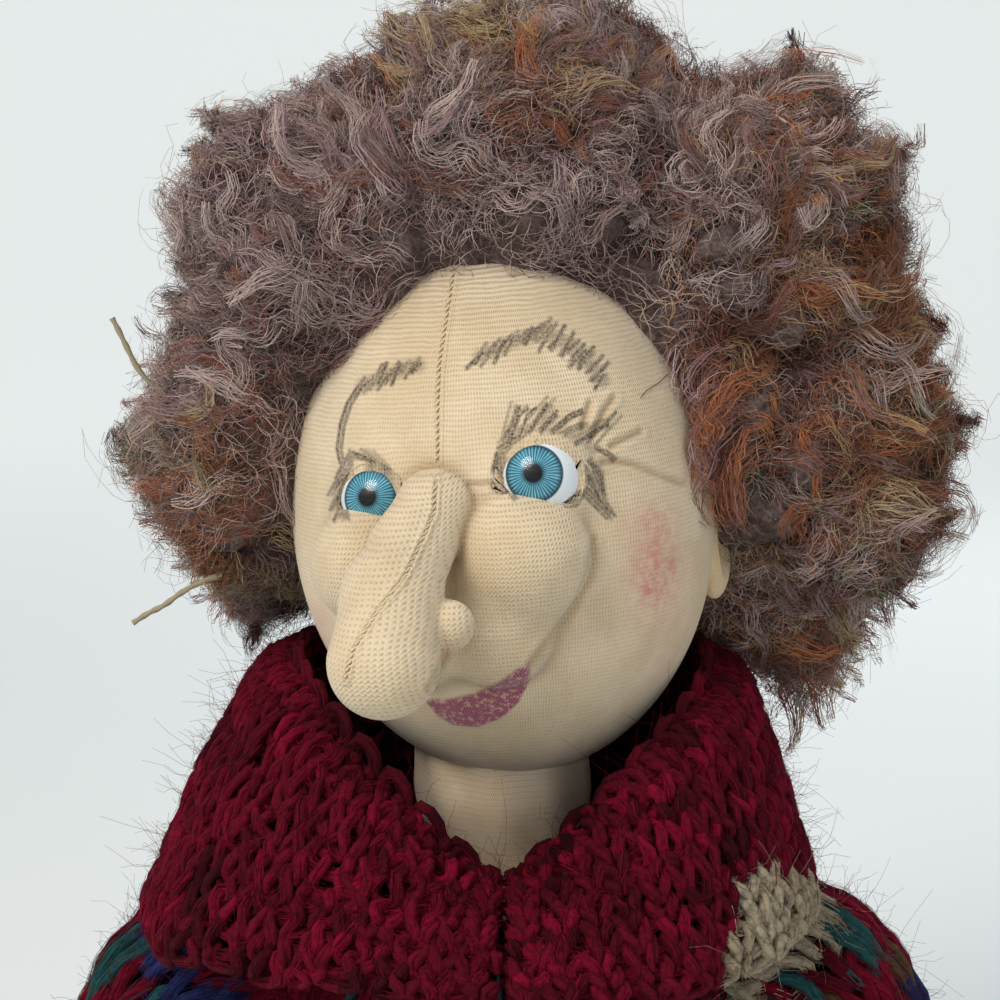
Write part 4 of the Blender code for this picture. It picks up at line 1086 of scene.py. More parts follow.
def looked_up(grid, ways):
    """Values of a grid over all directions, read between its points."""
    row = np.arccos(np.clip(ways[..., 2], -1.0, 1.0)) / math.pi * WOOL_ROWS
    column = np.mod(np.arctan2(ways[..., 1], ways[..., 0]), 2 * math.pi) / (2 * math.pi) * WOOL_COLUMNS
    top = np.clip(row.astype(int), 0, WOOL_ROWS - 1)
    left = column.astype(int) % WOOL_COLUMNS
    right = (left + 1) % WOOL_COLUMNS
    down = row - top
    aside = column - column.astype(int)
    upper = grid[top, left] * (1 - aside) + grid[top, right] * aside
    lower = grid[top + 1, left] * (1 - aside) + grid[top + 1, right] * aside
    return upper * (1 - down) + lower * down


def wool_shade(places):
    """Where on the row of wool shades the wool of a place lies, from 0 to 1."""
    pixels = photo_places(places)
    right = soft_step(pixels[:, 0], 640, 800) * soft_step(pixels[:, 1], -20, 220)
    lower_left = soft_step(-pixels[:, 0], -330, -230) * soft_step(pixels[:, 1], 390, 500)
    rusty = np.clip(right * 0.9 + lower_left * 0.8, 0.0, 1.0)
    rusty = np.where(places[:, 1] > 0.03, 0.45, rusty)
    grey = dice.choice(GREY_PLACES, len(places), p=GREY_CHANCES)
    warm = dice.choice(WARM_PLACES, len(places), p=WARM_CHANCES)
    return np.where(dice.uniform(0.0, 1.0, len(places)) < rusty * 0.92 + 0.03, warm, grey)


builder = bmesh.new()
bmesh.ops.create_icosphere(builder, subdivisions=6, radius=1.0)
rough_mesh = built(builder, "wool_rough")
rough_ways = points_of(rough_mesh)
haired = looked_up(thickness, rough_ways) > WOOL_ALL_ROUND
rough_reach = np.where(haired, looked_up(wool_reach, rough_ways), 0.93 / skull_share(rough_ways))
shape_to(rough_mesh, middle + rough_ways * rough_reach[:, None])
under_mesh = evened(rough_mesh, WOOL_CELL)


def vertex_normals(mesh):
    ways = np.empty(len(mesh.vertices) * 3, np.float32)
    mesh.vertex_normals.foreach_get("vector", ways)
    return ways.reshape(-1, 3).astype(float)


under_points = points_of(under_mesh)
clump_spots = under_points[dice.integers(0, len(under_points), CLUMPS)]
clump_sizes = dice.uniform(0.7, 1.3, CLUMPS)
gaps = np.linalg.norm(under_points[:, None] - clump_spots[None], axis=2) / clump_sizes
gaps.partition(1, axis=1)
gaps = np.sort(gaps[:, :2], axis=1)
valley = np.exp(-(gaps[:, 1] - gaps[:, 0]) / VALLEY_WIDTH)
bulge = bell(gaps[:, 0], CLUMP_RADIUS)
standing = np.clip((skull_share(under_points - middle) - 1.0) / 0.25, 0.0, 1.0)
waves = unit(dice.normal(0.0, 1.0, (RUFFLES, 3))) * dice.uniform(450.0, 900.0, RUFFLES)[:, None]
begins = dice.uniform(0.0, 6.28, RUFFLES)
ruffles = sum(np.sin(under_points @ wave + begin) for wave, begin in zip(waves, begins))
swell = (CLUMP_RISE * bulge - CLUMP_DROP * valley + RUFFLE_RISE * ruffles) * standing
at_nape = looked_up(nape, unit(under_points - middle))
swell = np.where(at_nape > 0.1, np.minimum(swell, 0.0002) - 0.0006 * at_nape, swell)
under_points = under_points + vertex_normals(under_mesh) * swell[:, None]
shape_to(under_mesh, under_points)
wool_tree = tree_of(under_mesh, under_points)
field_start = under_points.min(axis=0) - 0.012
field_size = np.ceil((np.ptp(under_points, axis=0) + 0.024) / FIELD_CELL).astype(int) + 1
field = np.empty(tuple(field_size))
for index in np.ndindex(*field_size):
    spot = Vector(field_start + np.array(index) * FIELD_CELL)
    nearest, normal, _, gap = wool_tree.find_nearest(spot)
    field[index] = gap if (spot - nearest).dot(normal) > 0 else -gap
field_slope = np.stack(np.gradient(field, FIELD_CELL), axis=-1)
field_all = np.concatenate([field[..., None], field_slope], axis=-1)


def wool_at(spots):
    """How far spots lie off the wool, and which way is out of it there."""
    at = (spots - field_start) / FIELD_CELL
    low = np.clip(at.astype(int), 0, field_size - 2)
    part = np.clip(at - low, 0.0, 1.0)
    total = 0.0
    for corner in np.ndindex(2, 2, 2):
        weight = np.prod(np.where(np.array(corner), part, 1 - part), axis=-1)
        place = low + np.array(corner)
        total = total + field_all[place[..., 0], place[..., 1], place[..., 2]] * weight[..., None]
    return total[..., 0], unit(total[..., 1:])


corners = np.array([face.vertices[:3] for face in under_mesh.polygons])
fourth = np.array([face.vertices[-1] for face in under_mesh.polygons])
first = under_points[corners[:, 0]]
second, last = under_points[corners[:, 1]], under_points[fourth]
face_area = np.linalg.norm(np.cross(second - first, last - first), axis=1)
face_centre = under_points[np.array([face.vertices[:4] for face in under_mesh.polygons])].mean(axis=1)
face_area *= skull_share(face_centre - middle) > 1.02
face_area *= np.where(face_centre[:, 1] < 0.030, 1.0, 0.6)
face_area /= face_area.sum()


def wool_spots(count):
    """Places spread evenly over the wool, fewer of them at the back."""
    face = dice.choice(len(face_area), count, p=face_area)
    return face_centre[face] + dice.normal(0.0, WOOL_CELL * 0.45, (count, 3))


PATCHES = 1500
BRIGHT_PLACE, BRIGHT_SIZE, BRIGHT_SHADE = (680, 70), 34, 0.60
TAN_PLACE, TAN_SIZE, TAN_SHADE, TAN_CHANCE = (500, 60), 70, 0.77, 0.40

patch_spots = wool_spots(PATCHES)
patch_shades = wool_shade(patch_spots)


def patches_by(place, size):
    """Which patches of wool lie in front, within that many pixels of a place of the photograph."""
    return (np.linalg.norm(photo_places(patch_spots) - place, axis=1) < size) & (patch_spots[:, 1] < 0.02)


patch_shades[patches_by(BRIGHT_PLACE, BRIGHT_SIZE)] = BRIGHT_SHADE
tan = patches_by(TAN_PLACE, TAN_SIZE) & (dice.uniform(0.0, 1.0, PATCHES) < TAN_CHANCE)
patch_shades[tan] = TAN_SHADE


def shade_near(spots):
    """The wool shade at places, each a little off its place so that patches run together."""
    places = spots + dice.normal(0.0, 0.0020, spots.shape)
    found = np.empty(len(spots), int)
    size = (patch_spots ** 2).sum(axis=1)
    for first in range(0, len(spots), 20000):
        found[first:first + 20000] = np.argmin(size - 2 * places[first:first + 20000] @ patch_spots.T, axis=1)
    return patch_shades[found]


def flow_at(spots, out):
    """Which way the fibres run over the wool: in soft swirls, and away from the face."""
    swirl = np.zeros_like(spots)
    for wave, way, begin in zip(flow_waves, flow_ways, flow_starts):
        swirl += np.cos(spots @ wave + begin)[..., None] * way
    away = unit(spots - middle) * FLOW_AWAY + np.array((0.0, 0.25, -0.10))
    total = swirl * 0.55 + away
    return unit(total - out * (total * out).sum(axis=-1)[..., None])


flow_waves = unit(dice.normal(0.0, 1.0, (9, 3))) * dice.uniform(150.0, 380.0, 9)[:, None]
flow_ways = unit(dice.normal(0.0, 1.0, (9, 3)))
flow_starts = dice.uniform(0.0, 2 * math.pi, 9)


def fibres_on_wool(spots, heights, points, lengths, wander, curl_sizes, curl_lengths):
    """Paths that run over the wool from the given places, at given heights over it."""
    count = len(spots)
    lengths = dice.uniform(*lengths, count)
    curl_sizes = dice.uniform(*curl_sizes, count)
    curl_lengths = dice.uniform(*curl_lengths, count)
    step = (lengths / (points - 1))[:, None]
    angle = dice.normal(0.0, wander, count)[:, None]
    heights = np.minimum(heights, 1.0) * (1.0 - 0.6 * looked_up(nape, unit(spots - middle))[:, None])
    gap, out = wool_at(spots)
    spot = spots - out * gap[:, None]
    trail, ways_out = [spot], [out]
    for _ in range(points - 1):
        flow = flow_at(spot, out)
        heading = flow * np.cos(angle) + np.cross(out, flow) * np.sin(angle)
        spot = spot + heading * step
        gap, out = wool_at(spot)
        spot = spot - out * gap[:, None]
        trail.append(spot)
        ways_out.append(out)
    trail = np.stack(trail, axis=1)
    ways_out = np.stack(ways_out, axis=1)
    paths = trail + ways_out * heights[..., None]
    ahead = unit(np.gradient(paths, axis=1))
    across = unit(np.cross(ways_out, ahead))
    up = np.cross(ahead, across)
    share = np.linspace(0.0, 1.0, points)[None]
    turn = 2 * math.pi * share * (lengths / curl_lengths)[:, None] + dice.uniform(0.0, 6.28, count)[:, None]
    size = curl_sizes[:, None] * np.minimum(share * 3.0, 1.0)
    paths = paths + across * (np.cos(turn) * size)[..., None] + up * (np.sin(turn) * size * 0.8)[..., None]
    covered = looked_up(over_face, unit(paths - middle))
    clear = (covered[:, 0] > BARE_SHARE) & (covered.min(axis=1) > BARE_SHARE * 0.05)
    return paths[clear], ways_out[clear], np.flatnonzero(clear)


def strips(paths, out, width):
    """Points and quads of flat strips that face outwards."""
    count, steps, _ = paths.shape
    side = unit(np.cross(np.gradient(paths, axis=1), out)) * (width / 2)
    points = np.stack([paths - side, paths + side], axis=2)
    index = np.arange(count * steps * 2).reshape(count, steps, 2)
    quads = np.stack([index[:, :-1, 0], index[:, :-1, 1], index[:, 1:, 1], index[:, 1:, 0]], axis=-1)
    return points.reshape(-1, 3), quads.reshape(-1, 4)


def lay_flat(mesh, shades, width, first, last):
    """Gives each quad a flat place of its own: from its shade across, and from first to last upwards."""
    corners = np.empty(np.broadcast_shapes(shades.shape, first.shape) + (4, 2), np.float32)
    corners[..., 0, 0] = corners[..., 3, 0] = shades
    corners[..., 1, 0] = corners[..., 2, 0] = shades + width
    corners[..., 0, 1] = corners[..., 1, 1] = first
    corners[..., 2, 1] = corners[..., 3, 1] = last
    layer = mesh.uv_layers.new(name="OFBake")
    layer.data.foreach_set("uv", corners.ravel())


def mark_strands(mesh, steps, sides, shade, first, last):
    """Lays the quads of strands flat, so that a strand's shade and its length can be read."""
    along = np.linspace(first, last, steps)[None, :, None]
    low = np.clip(shade, 0.004, 0.990)[:, None, None] + np.arange(sides) * STRAND_MARK
    lay_flat(mesh, low, STRAND_MARK, along[:, :-1], along[:, 1:])


wool = Finish("carded_wool", Roughness=0.85, Specular_IOR_Level=0.2)
flat = wool.node("ShaderNodeUVMap", {"uv_map": "OFBake"})
shade = wool.ramp(flat.part("x"), WOOL_SHADES)
risen = (flat.part("y") * math.pi).wave()
# Painted shade: each fibre is darkened towards #2a1d1b where it lies low in the wool, at its root and, for
# fibres that arch over, at both ends.
wool.look("Base Color", wool.mix(risen.between(0.0, 0.7) * 0.65 + 0.35, linear("#2a1d1b"), shade))

under_wool = Finish("wool_underlayer", Roughness=0.95)
place = under_wool.place()
tufts = under_wool.noise(420.0, 5.0, place, 0.75)
strandy = under_wool.noise(1500.0, 2.0, place, 0.6)
tint = under_wool.ramp(under_wool.mark("shade"), WOOL_SHADES)
# Painted shade: the underlayer deep under the fibres is darkened by at least 55 % towards #271915, more in
# the valleys between clumps and in fine streaks of noise.
dark = under_wool.mark("valley") * 0.2 + (1 - strandy).between(0.3, 0.7) * 0.25 + 0.55
under_wool.look("Base Color", under_wool.mix(dark, tint, linear("#271915")))
under_wool.raise_by(strandy * 0.5 + tufts * 0.5, 0.0010)

keep_marks(under_mesh, shade=shade_near(under_points) * 0.3 + 0.04, valley=valley)
shape_to(under_mesh, under_points - vertex_normals(under_mesh) * UNDERLAYER_DEPTH)
settle(new_object("wool_underlayer", under_mesh, under_wool), "head", "wool_hair", HAIR_NODES)

node_ways = unit(np.array([np.mean(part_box(name), axis=0) for name in HAIR_NODES]) - middle)


def hair_pieces(kind, paths, out, shades, marks, width=None):
    """Shares fibres out over the wool's clumps and sets each piece on the head."""
    home = np.argmax(unit(paths[:, 0] - middle) @ node_ways.T, axis=1)
    per_piece, sides = (LAID_PER_PIECE, 1) if width else (FREE_PER_PIECE, FREE_SIDES)
    for number, node_name in enumerate(HAIR_NODES):
        own = np.flatnonzero(home == number)
        for piece, begin in enumerate(range(0, len(own), per_piece)):
            chunk = own[begin:begin + per_piece]
            name = f"{node_name}_{kind}_{piece + 1}"
            if width:
                mesh = mesh_of(name, *strips(paths[chunk], out[chunk], width))
            else:
                radii = np.tile(FREE_RADIUS * np.linspace(1.1, 0.6, FREE_POINTS), (len(chunk), 1))
                mesh = mesh_of(name, *tubes(paths[chunk], radii, FREE_SIDES))
            mark_strands(mesh, paths.shape[1], sides, shades[chunk], *marks)
            settle(new_object(name, mesh, wool), "head", "wool_hair", [node_name])


share = np.linspace(0.0, 1.0, LAID_POINTS)[None]
spots = wool_spots(LAID_FIBRES)
count = len(spots)
heights = -0.0009 + np.sin(math.pi * share) * dice.uniform(0.0006, 0.0034, count)[:, None]
paths, out, kept = fibres_on_wool(spots, heights, LAID_POINTS, **LAID_RUN, **LAID_CURL)
shades = (shade_near(spots) + dice.normal(0.0, 0.022, count))[kept]
hair_pieces("laid", paths, out, shades, (0.0, 1.0), LAID_WIDTH)


def fibres_of_locks(axes, ways_out):
    """Splits each lock into single fibres that run along it, closer together towards its tip."""
    locks, points, _ = axes.shape
    lock = np.repeat(np.arange(locks), LOCK_FIBRES)
    count = len(lock)
    ahead = unit(np.gradient(axes, axis=1))
    across = unit(np.cross(ways_out, ahead))
    out = np.cross(ahead, across)
    first = dice.uniform(0.0, 0.40, count)
    last = np.minimum(first + dice.uniform(0.45, 0.95, count), 1.0)
    share = np.linspace(0.0, 1.0, points)[None]
    at = (first[:, None] + (last - first)[:, None] * share) * (points - 1)
    low = np.minimum(at.astype(int), points - 2)
    part = (at - low)[..., None]

    def along(values):
        return values[lock[:, None], low] * (1 - part) + values[lock[:, None], low + 1] * part

    turn = dice.uniform(0.0, 2 * math.pi, count)[:, None] + dice.normal(0.0, 0.9, count)[:, None] * share
    width = LOCK_SPREAD * np.sqrt(dice.uniform(0.02, 1.0, count))[:, None] * (1.15 - 0.80 * at / (points - 1))
    width = width * dice.uniform(0.6, 1.4, locks)[lock][:, None]
    wave = 2 * math.pi * share * dice.uniform(1.5, 3.5, count)[:, None]
    wave = wave + dice.uniform(0.0, 6.28, count)[:, None]
    small = dice.uniform(0.00006, 0.00034, count)[:, None]
    sideways = np.cos(turn) * width + np.sin(wave) * small
    upwards = np.sin(turn) * width * 0.7 + np.cos(wave) * small
    paths = along(axes) + along(across) * sideways[..., None] + along(out) * upwards[..., None]
    return paths, along(ways_out), lock


def hanging(paths, share, least, most):
    """Lets the wool low down at the sides sink under its own weight."""
    low_down = soft_step(-paths[:, :1, 2], -0.175, -0.148) * soft_step(np.abs(paths[:, :1, 0]), 0.026, 0.042)
    paths[..., 2] -= low_down * share ** 1.5 * dice.uniform(least, most, len(paths))[:, None]


share = np.linspace(0.0, 1.0, LOCK_POINTS)[None]
spots = wool_spots(LOCKS)
count = len(spots)
rise = dice.uniform(0.0010, 0.0068, count) + 0.0035 * (dice.uniform(0.0, 1.0, count) > 0.85)
heights = -0.0016 + share ** 1.3 * rise[:, None]
axes, out, kept = fibres_on_wool(spots, heights, LOCK_POINTS, **LOCK_RUN, **LOCK_CURL)
hanging(axes, share, 0.001, 0.012)
lock_shades = (shade_near(spots) + dice.normal(0.0, 0.012, count))[kept]
paths, out, lock = fibres_of_locks(axes, out)
shades = lock_shades[lock] + dice.normal(0.0, 0.040, len(lock))
hair_pieces("lock", paths, out, shades, LOCK_MARKS, LOCK_FIBRE_WIDTH)

share = np.linspace(0.0, 1.0, FREE_POINTS)[None]
spots = wool_spots(FREE_FIBRES)
count = len(spots)
far_out = dice.uniform(0.0, 1.0, count)
rise = np.where(far_out > 0.86, dice.uniform(0.004, 0.0095, count), dice.uniform(0.0012, 0.0056, count))
heights = -0.0010 + share ** 0.8 * rise[:, None]
paths, out, kept = fibres_on_wool(spots, heights, FREE_POINTS, **FREE_RUN, **FREE_CURL)
shades = (shade_near(spots) + dice.normal(0.0, 0.020, count))[kept]
hanging(paths, share, 0.001, 0.010)
hair_pieces("free", paths, out, shades, (0.0, 0.5))

TEMPLE_LOCKS = (
    ((748, 400), (724, 410), (704, 424), (693, 442), (687, 462), (685, 482), (690, 497)),
    ((752, 424), (728, 434), (708, 448), (698, 468), (695, 490), (699, 508), (708, 520)),
    ((756, 450), (734, 462), (716, 478), (707, 498), (707, 520), (714, 538), (725, 548)),
    ((760, 486), (742, 496), (726, 512), (718, 530), (719, 550), (728, 566), (740, 576)),
    ((742, 372), (720, 382), (702, 396), (691, 412), (684, 428), (681, 442), (684, 452)),
    ((764, 520), (748, 530), (734, 545), (729, 562), (733, 580), (744, 594), (757, 602)),
    ((736, 350), (716, 362), (700, 378), (690, 392), (685, 404), (684, 414), (688, 422)),
)
TEMPLE_COPIES = 4
TEMPLE_SHADES = (0.40, 0.46, 0.52, 0.43, 0.55, 0.46, 0.38)
TEMPLE_LIFT = 0.0016
TEMPLE_FALL = 0.0012


def seen_at(x, y, depth):
    """The place that is seen at a pixel of the photograph, at that depth into the room."""
    way = photo_ray(x, y)
    return camera_spot + way * ((depth - camera_spot.y) / way.y)


def resampled(line, count):
    """The line again in that many points, evenly spread over its own."""
    return read_along(np.linspace(0.0, len(line) - 1.0, count), np.arange(len(line)), line)


axes, lock_shades = [], []
for line, shade_place in zip(TEMPLE_LOCKS, TEMPLE_SHADES):
    spots, depth = [], 0.0
    for x, y in reversed(line):
        spot, normal = on_head(x, y)
        if spot is not None and normal.dot(photo_ray(x, y)) < -0.25:
            depth = spot.y
        spots.append(seen_at(x, y, depth - TEMPLE_LIFT))
        depth += TEMPLE_FALL
    line = resampled(spots[::-1], LOCK_POINTS)
    for _ in range(TEMPLE_COPIES):
        turns = np.linspace(0.0, dice.uniform(6.0, 12.0), LOCK_POINTS) + dice.uniform(0.0, 6.28)
        curl = xyz(np.cos(turns), np.sin(turns) * 0.5, np.sin(turns)) * dice.uniform(0.0004, 0.0012)
        cut = dice.uniform(0.55, 1.0)
        line_now = line[0] + (line - line[0]) * cut + dice.normal(0.0, 0.0013, 3) + curl
        axes.append(line_now + np.cumsum(dice.normal(0.0, 0.00030, line.shape), axis=0))
        lock_shades.append(shade_place + dice.normal(0.0, 0.06))
axes = np.array(axes)
paths, out, lock = fibres_of_locks(axes, np.broadcast_to(np.array(-sight), axes.shape))
paths = paths + np.cumsum(dice.normal(0.0, 0.00013, paths.shape), axis=1)
shades = np.array(lock_shades)[lock] + dice.normal(0.0, 0.060, len(lock))
hair_pieces("temple", paths, out, shades, LOCK_MARKS, LOCK_FIBRE_WIDTH)

YARN_ENDS = (
    ("left", 0.004, ((215, 408), (190, 402), (160, 392), (140, 374), (128, 350), (119, 331), (112, 318))),
    ("right", -0.004, ((838, 330), (852, 300), (872, 276), (884, 262))),
    ("low_left", -0.006, ((236, 530), (226, 512), (222, 496), (214, 486))),
    ("low", -0.002, ((222, 574), (200, 582), (180, 593), (164, 606), (148, 613), (133, 623))),
)
YARN_END_POINTS = 30
YARN_END_RADIUS = 0.00042

yarn_end_finish = Finish("beige_yarn_end", Base_Color=linear("#9c9174"), Roughness=0.9)
for name, depth, pixels in YARN_ENDS:
    line = resampled([seen_at(x, y, depth) for x, y in pixels], YARN_END_POINTS)
    for _ in range(6):
        line[1:-1] = (line[:-2] + line[2:] + line[1:-1] * 2) / 4
    radii = np.full((1, YARN_END_POINTS), YARN_END_RADIUS)
    mesh = mesh_of("yarn_end_" + name, *tubes(line[None], radii, 8, ply=0.15, twist=0.7))
    settle(new_object("yarn_end_" + name, mesh, yarn_end_finish), "head", "wool_hair", None)

SINGLE_HAIR = ((640, 398), (646, 391), (657, 384), (668, 374), (678, 364), (690, 353), (698, 345))
HAIR_LIFT = 0.00015
HAIR_RADIUS = 0.00006

found = [on_head(x, y) for x, y in SINGLE_HAIR]
spots = np.array([spot + normal * HAIR_LIFT for spot, normal in found if spot is not None])
hair_mesh = mesh_of("single_hair", *tubes(spots[None], np.full((1, len(spots)), HAIR_RADIUS), 5))
dark_hair = Finish("dark_hair", Base_Color=linear("#4a3a33"), Roughness=0.6)
settle(new_object("single_hair", hair_mesh, dark_hair), "head", "wool_hair", None)


# Neck
# A stem of coarser beige jersey, stuffed and pushed up into the head, with the head's
# edge gathered and sewn round it.

NECK_HEIGHT = (0.118, 0.150)
NECK_RADIUS = 0.0116
NECK_SIDES = 72
NECK_ROWS = 60
NECK_FOLDS = 0.00045
NECK_FLARE = 0.13
NECK_END = (0.2, 0.2, 1.0)


def turned_piece(name, rings, finish, body, slot, nodes, bends=None, place=None):
    """A piece whose skin runs through rings of points, set on its body, or fixed where it stands when bends
    are given.
    """
    rings = np.asarray(rings)
    if place is not None:
        rings = moved_by(place, rings)
    mesh = mesh_of(name, rings, ring_quads(rings.shape[:2]))
    return settle(new_object(name, mesh, finish), body, slot, nodes, bends)


neck_rows = []
for row in range(NECK_ROWS + 1):
    share = row / NECK_ROWS
    turns = np.arange(NECK_SIDES) * (2 * math.pi / NECK_SIDES)
    fold = NECK_FOLDS * np.sin(turns * 9 + 5 * share) * (0.3 + share)
    radius = NECK_RADIUS * (1.0 + 0.16 * (1 - share) ** 2 + NECK_FLARE * soft_step(share, 0.20, 0.50)) + fold
    height = NECK_HEIGHT[0] + (NECK_HEIGHT[1] - NECK_HEIGHT[0]) * share
    neck_rows.append(xyz(radius * np.sin(turns), -radius * np.cos(turns), height))
neck_rows = [neck_rows[0] * NECK_END] + neck_rows + [neck_rows[-1] * NECK_END]
neck_jersey = jersey_finish("neck_jersey", "#eedcc0", "#dcc3a0", 0.00080, 0.00090, False)
turned_piece("neck_stem", neck_rows, neck_jersey, "neck", "body_calico", ["neck"])


# Collar
# A tall band of thick crimson wool, knitted in rows of big plain stitches on to the
# neck edge, folded over outwards and left open in a V at the front.

COLLAR_TOP = 0.1530
COLLAR_FRONT_TOP = 0.1270
COLLAR_FOOT = 0.1190
COLLAR_NECK_RADIUS = 0.0215
COLLAR_TOP_RADIUS = 0.0300
COLLAR_EDGE = 0.0080
COLLAR_SIDE_RADIUS = 0.0540
COLLAR_FRONT_RADIUS = 0.0460
COLLAR_SLIT = math.radians(1.5)
COLLAR_RISE_ANGLE = math.radians(85.0)
COLLAR_RISE_SHARES = ((0.0, 0.15, 0.35, 0.6, 0.85, 1.0), (0.0, 0.20, 0.50, 0.80, 0.97, 1.0))
COLLAR_COLUMNS = 54
COLLAR_FLAP_ROWS = 12
COLLAR_TURN_IN = 0.10
COLLAR_PINCH = 0.13
COLLAR_SLANT = 0.06
COLLAR_INSIDE_COLUMNS = 36
COLLAR_INSIDE_ROWS = 6
COLLAR_BEIGE = ((11, 276, 322), (10, 284, 320), (9, 292, 316), (8, 301, 311))
LINING_SIDES = 120
YARN_RADIUS = 0.00098
FUZZ_POINTS = 6
FUZZ_SIDES = 3
FUZZ_REACH = (0.0012, 0.0042)
FUZZ_RADIUS = 0.000036
FUZZ_SHARE = 0.62
STREAKS_PER_FUZZ = 1.9
STITCH_STEPS = 14
LOOP_LEAN = 0.235
LOOP_HEIGHT = 0.86
LOOP_DEPTH = 0.00085
YARN_SHADES = (
    (0.000, "#240005"), (0.060, "#440010"), (0.120, "#67021d"), (0.180, "#86042b"), (0.200, "#86042b"),
    (0.215, "#8f8068"), (0.260, "#a89a80"), (0.320, "#bdb096"), (0.335, "#1d4a4a"), (0.400, "#2a6264"),
    (0.420, "#1c2450"), (0.500, "#2a3568"), (0.520, "#4a3020"), (0.600, "#6b4b30"), (0.620, "#5d5a38"),
    (0.700, "#76724c"),
)
CRIMSON, BEIGE, TEAL, NAVY, BROWN, OLIVE = 0.11, 0.27, 0.37, 0.46, 0.56, 0.66
YARN_MARK = 0.0007
YARN_STRANDS = 3
STRAND_SIDES = 5
STRAND_TWIST = 0.42
STRAND_SPREAD = 0.40
STRAND_RADIUS = 0.68
HUG_POINTS = 5
HUG_WIDTH = 0.00013
CRIMSON_LAST = 0.19


class Form:
    """A soft surface that a knit or cloth is laid on: place(turn, along) gives its points."""

    def __init__(self, place):
        self.place = place

    def facing(self, turn, along):
        small = 1e-3
        round_it = self.place(turn + small, along) - self.place(turn - small, along)
        up_it = self.place(turn, along + small) - self.place(turn, along - small)
        return unit(np.cross(round_it, up_it))


def eased(values):
    """Rounds off the steps between one stitch's value and the next."""
    for _ in range(24):
        values = (np.roll(values, 1, axis=1) + values * 2 + np.roll(values, -1, axis=1)) / 4
    return values * 1.5


def knit_rows(form, columns, rows, radius, start, sweep, depth, uneven, seed, rib):
    """The loops of plain knitting on a form: one long strand to each row."""
    loose = np.random.default_rng(seed)
    step = np.arange(columns * STITCH_STEPS + 1)
    phase = 2 * math.pi * step / STITCH_STEPS
    turn = step / STITCH_STEPS + LOOP_LEAN * np.sin(2 * phase)
    uneven_by = loose.normal(0.0, uneven, (2, rows, columns + 1))
    slack, aside = [eased(np.repeat(by, STITCH_STEPS, axis=1)[:, :len(step)]) for by in uneven_by]
    turn = start + sweep * np.clip(turn[None] + aside * 0.8, 0.0, columns) / columns
    level = np.arange(rows)[:, None] + 0.5 + LOOP_HEIGHT * np.cos(phase)[None] * (1.0 + slack)
    along = level / rows
    facing = form.facing(turn, along)
    height = depth * -np.cos(2 * phase)[None] + slack * radius * 0.6
    height = height + rib * np.cos(math.pi * (step / STITCH_STEPS - 0.5))[None]
    paths = form.place(turn, along) + facing * height[..., None]
    return paths, facing


def yarn_mesh(name, paths, facing, radius, shades, seed):
    """Softly twisted yarn along knitted rows, as a bundle of strands.

    shades holds each stitch's place on the row of shades.
    """
    loose = np.random.default_rng(seed)
    rows, steps, _ = paths.shape
    ahead = unit(np.gradient(paths, axis=1))
    side = unit(np.cross(ahead, facing))
    over = np.cross(side, ahead)
    bundles = []
    step = np.arange(steps)[None]
    for strand in range(YARN_STRANDS):
        turn = 2 * math.pi * strand / YARN_STRANDS + STRAND_TWIST * step + loose.uniform(0.0, 0.8, (rows, 1))
        spread = radius * STRAND_SPREAD * (1.0 + 0.25 * np.sin(step * loose.uniform(0.2, 0.5) + strand * 2.1))
        aside, upwards = np.cos(turn) * spread, np.sin(turn) * spread
        bundles.append(paths + side * aside[..., None] + over * upwards[..., None])
    bundles = np.concatenate(bundles)
    radii = np.full(bundles.shape[:2], radius * STRAND_RADIUS)
    mesh = mesh_of(name, *tubes(bundles, radii, STRAND_SIDES, over=np.tile(facing, (YARN_STRANDS, 1, 1))))
    stitch = np.minimum(step[0, :-1] // STITCH_STEPS, shades.shape[1] - 1)
    share = (step[:, :-1, None] % STITCH_STEPS) / STITCH_STEPS
    off = loose.normal(0.0, 0.008, (rows * YARN_STRANDS, 1))
    shades = np.clip(np.tile(shades, (YARN_STRANDS, 1)) + off, 0.004, 0.99)
    low = shades[:, stitch][:, :, None] + np.arange(STRAND_SIDES) * YARN_MARK
    lay_flat(mesh, low, YARN_MARK, share, share + 1.0 / STITCH_STEPS)
    return mesh


def hugging_mesh(name, paths, facing, radius, shades, count, seed):
    """Single fibres that lie along the yarn and give it its streaks."""
    loose = np.random.default_rng(seed)
    rows, steps, _ = paths.shape
    row = loose.integers(0, rows, count)
    begin = loose.integers(0, steps - 1, count)
    stride = loose.uniform(0.9, 1.9, count)
    spots = np.minimum((begin[:, None] + stride[:, None] * np.arange(HUG_POINTS)).astype(int), steps - 1)
    base = paths[row[:, None], spots]
    up = facing[row[:, None], spots]
    ahead = unit(np.gradient(base, axis=1) + 1e-9)
    side = unit(np.cross(ahead, up))
    over = np.cross(side, ahead)
    turn = loose.uniform(0.0, math.pi, count)[:, None]
    turn = turn + np.linspace(0.0, 1.0, HUG_POINTS) * loose.normal(0.0, 0.7, count)[:, None]
    lift = radius * loose.uniform(1.05, 1.35, count)[:, None]
    out = side * np.cos(turn)[..., None] + over * np.sin(turn)[..., None]
    strands = base + out * lift[..., None]
    far_apart = np.linalg.norm(np.diff(strands, axis=1), axis=2).min(axis=1) > 1e-5
    strands, out, row, begin = strands[far_apart], out[far_apart], row[far_apart], begin[far_apart]
    mesh = mesh_of(name, *strips(strands, out, HUG_WIDTH))
    stitch = np.minimum(begin // STITCH_STEPS, shades.shape[1] - 1)
    shade = shades[row, stitch]
    varied = np.clip(shade + loose.normal(0.02, 0.03, len(strands)), 0.02, CRIMSON_LAST)
    shade = np.where(shade < CRIMSON_LAST, varied, shade)
    mark_strands(mesh, HUG_POINTS, 1, shade, 0.3, 0.9)
    return mesh


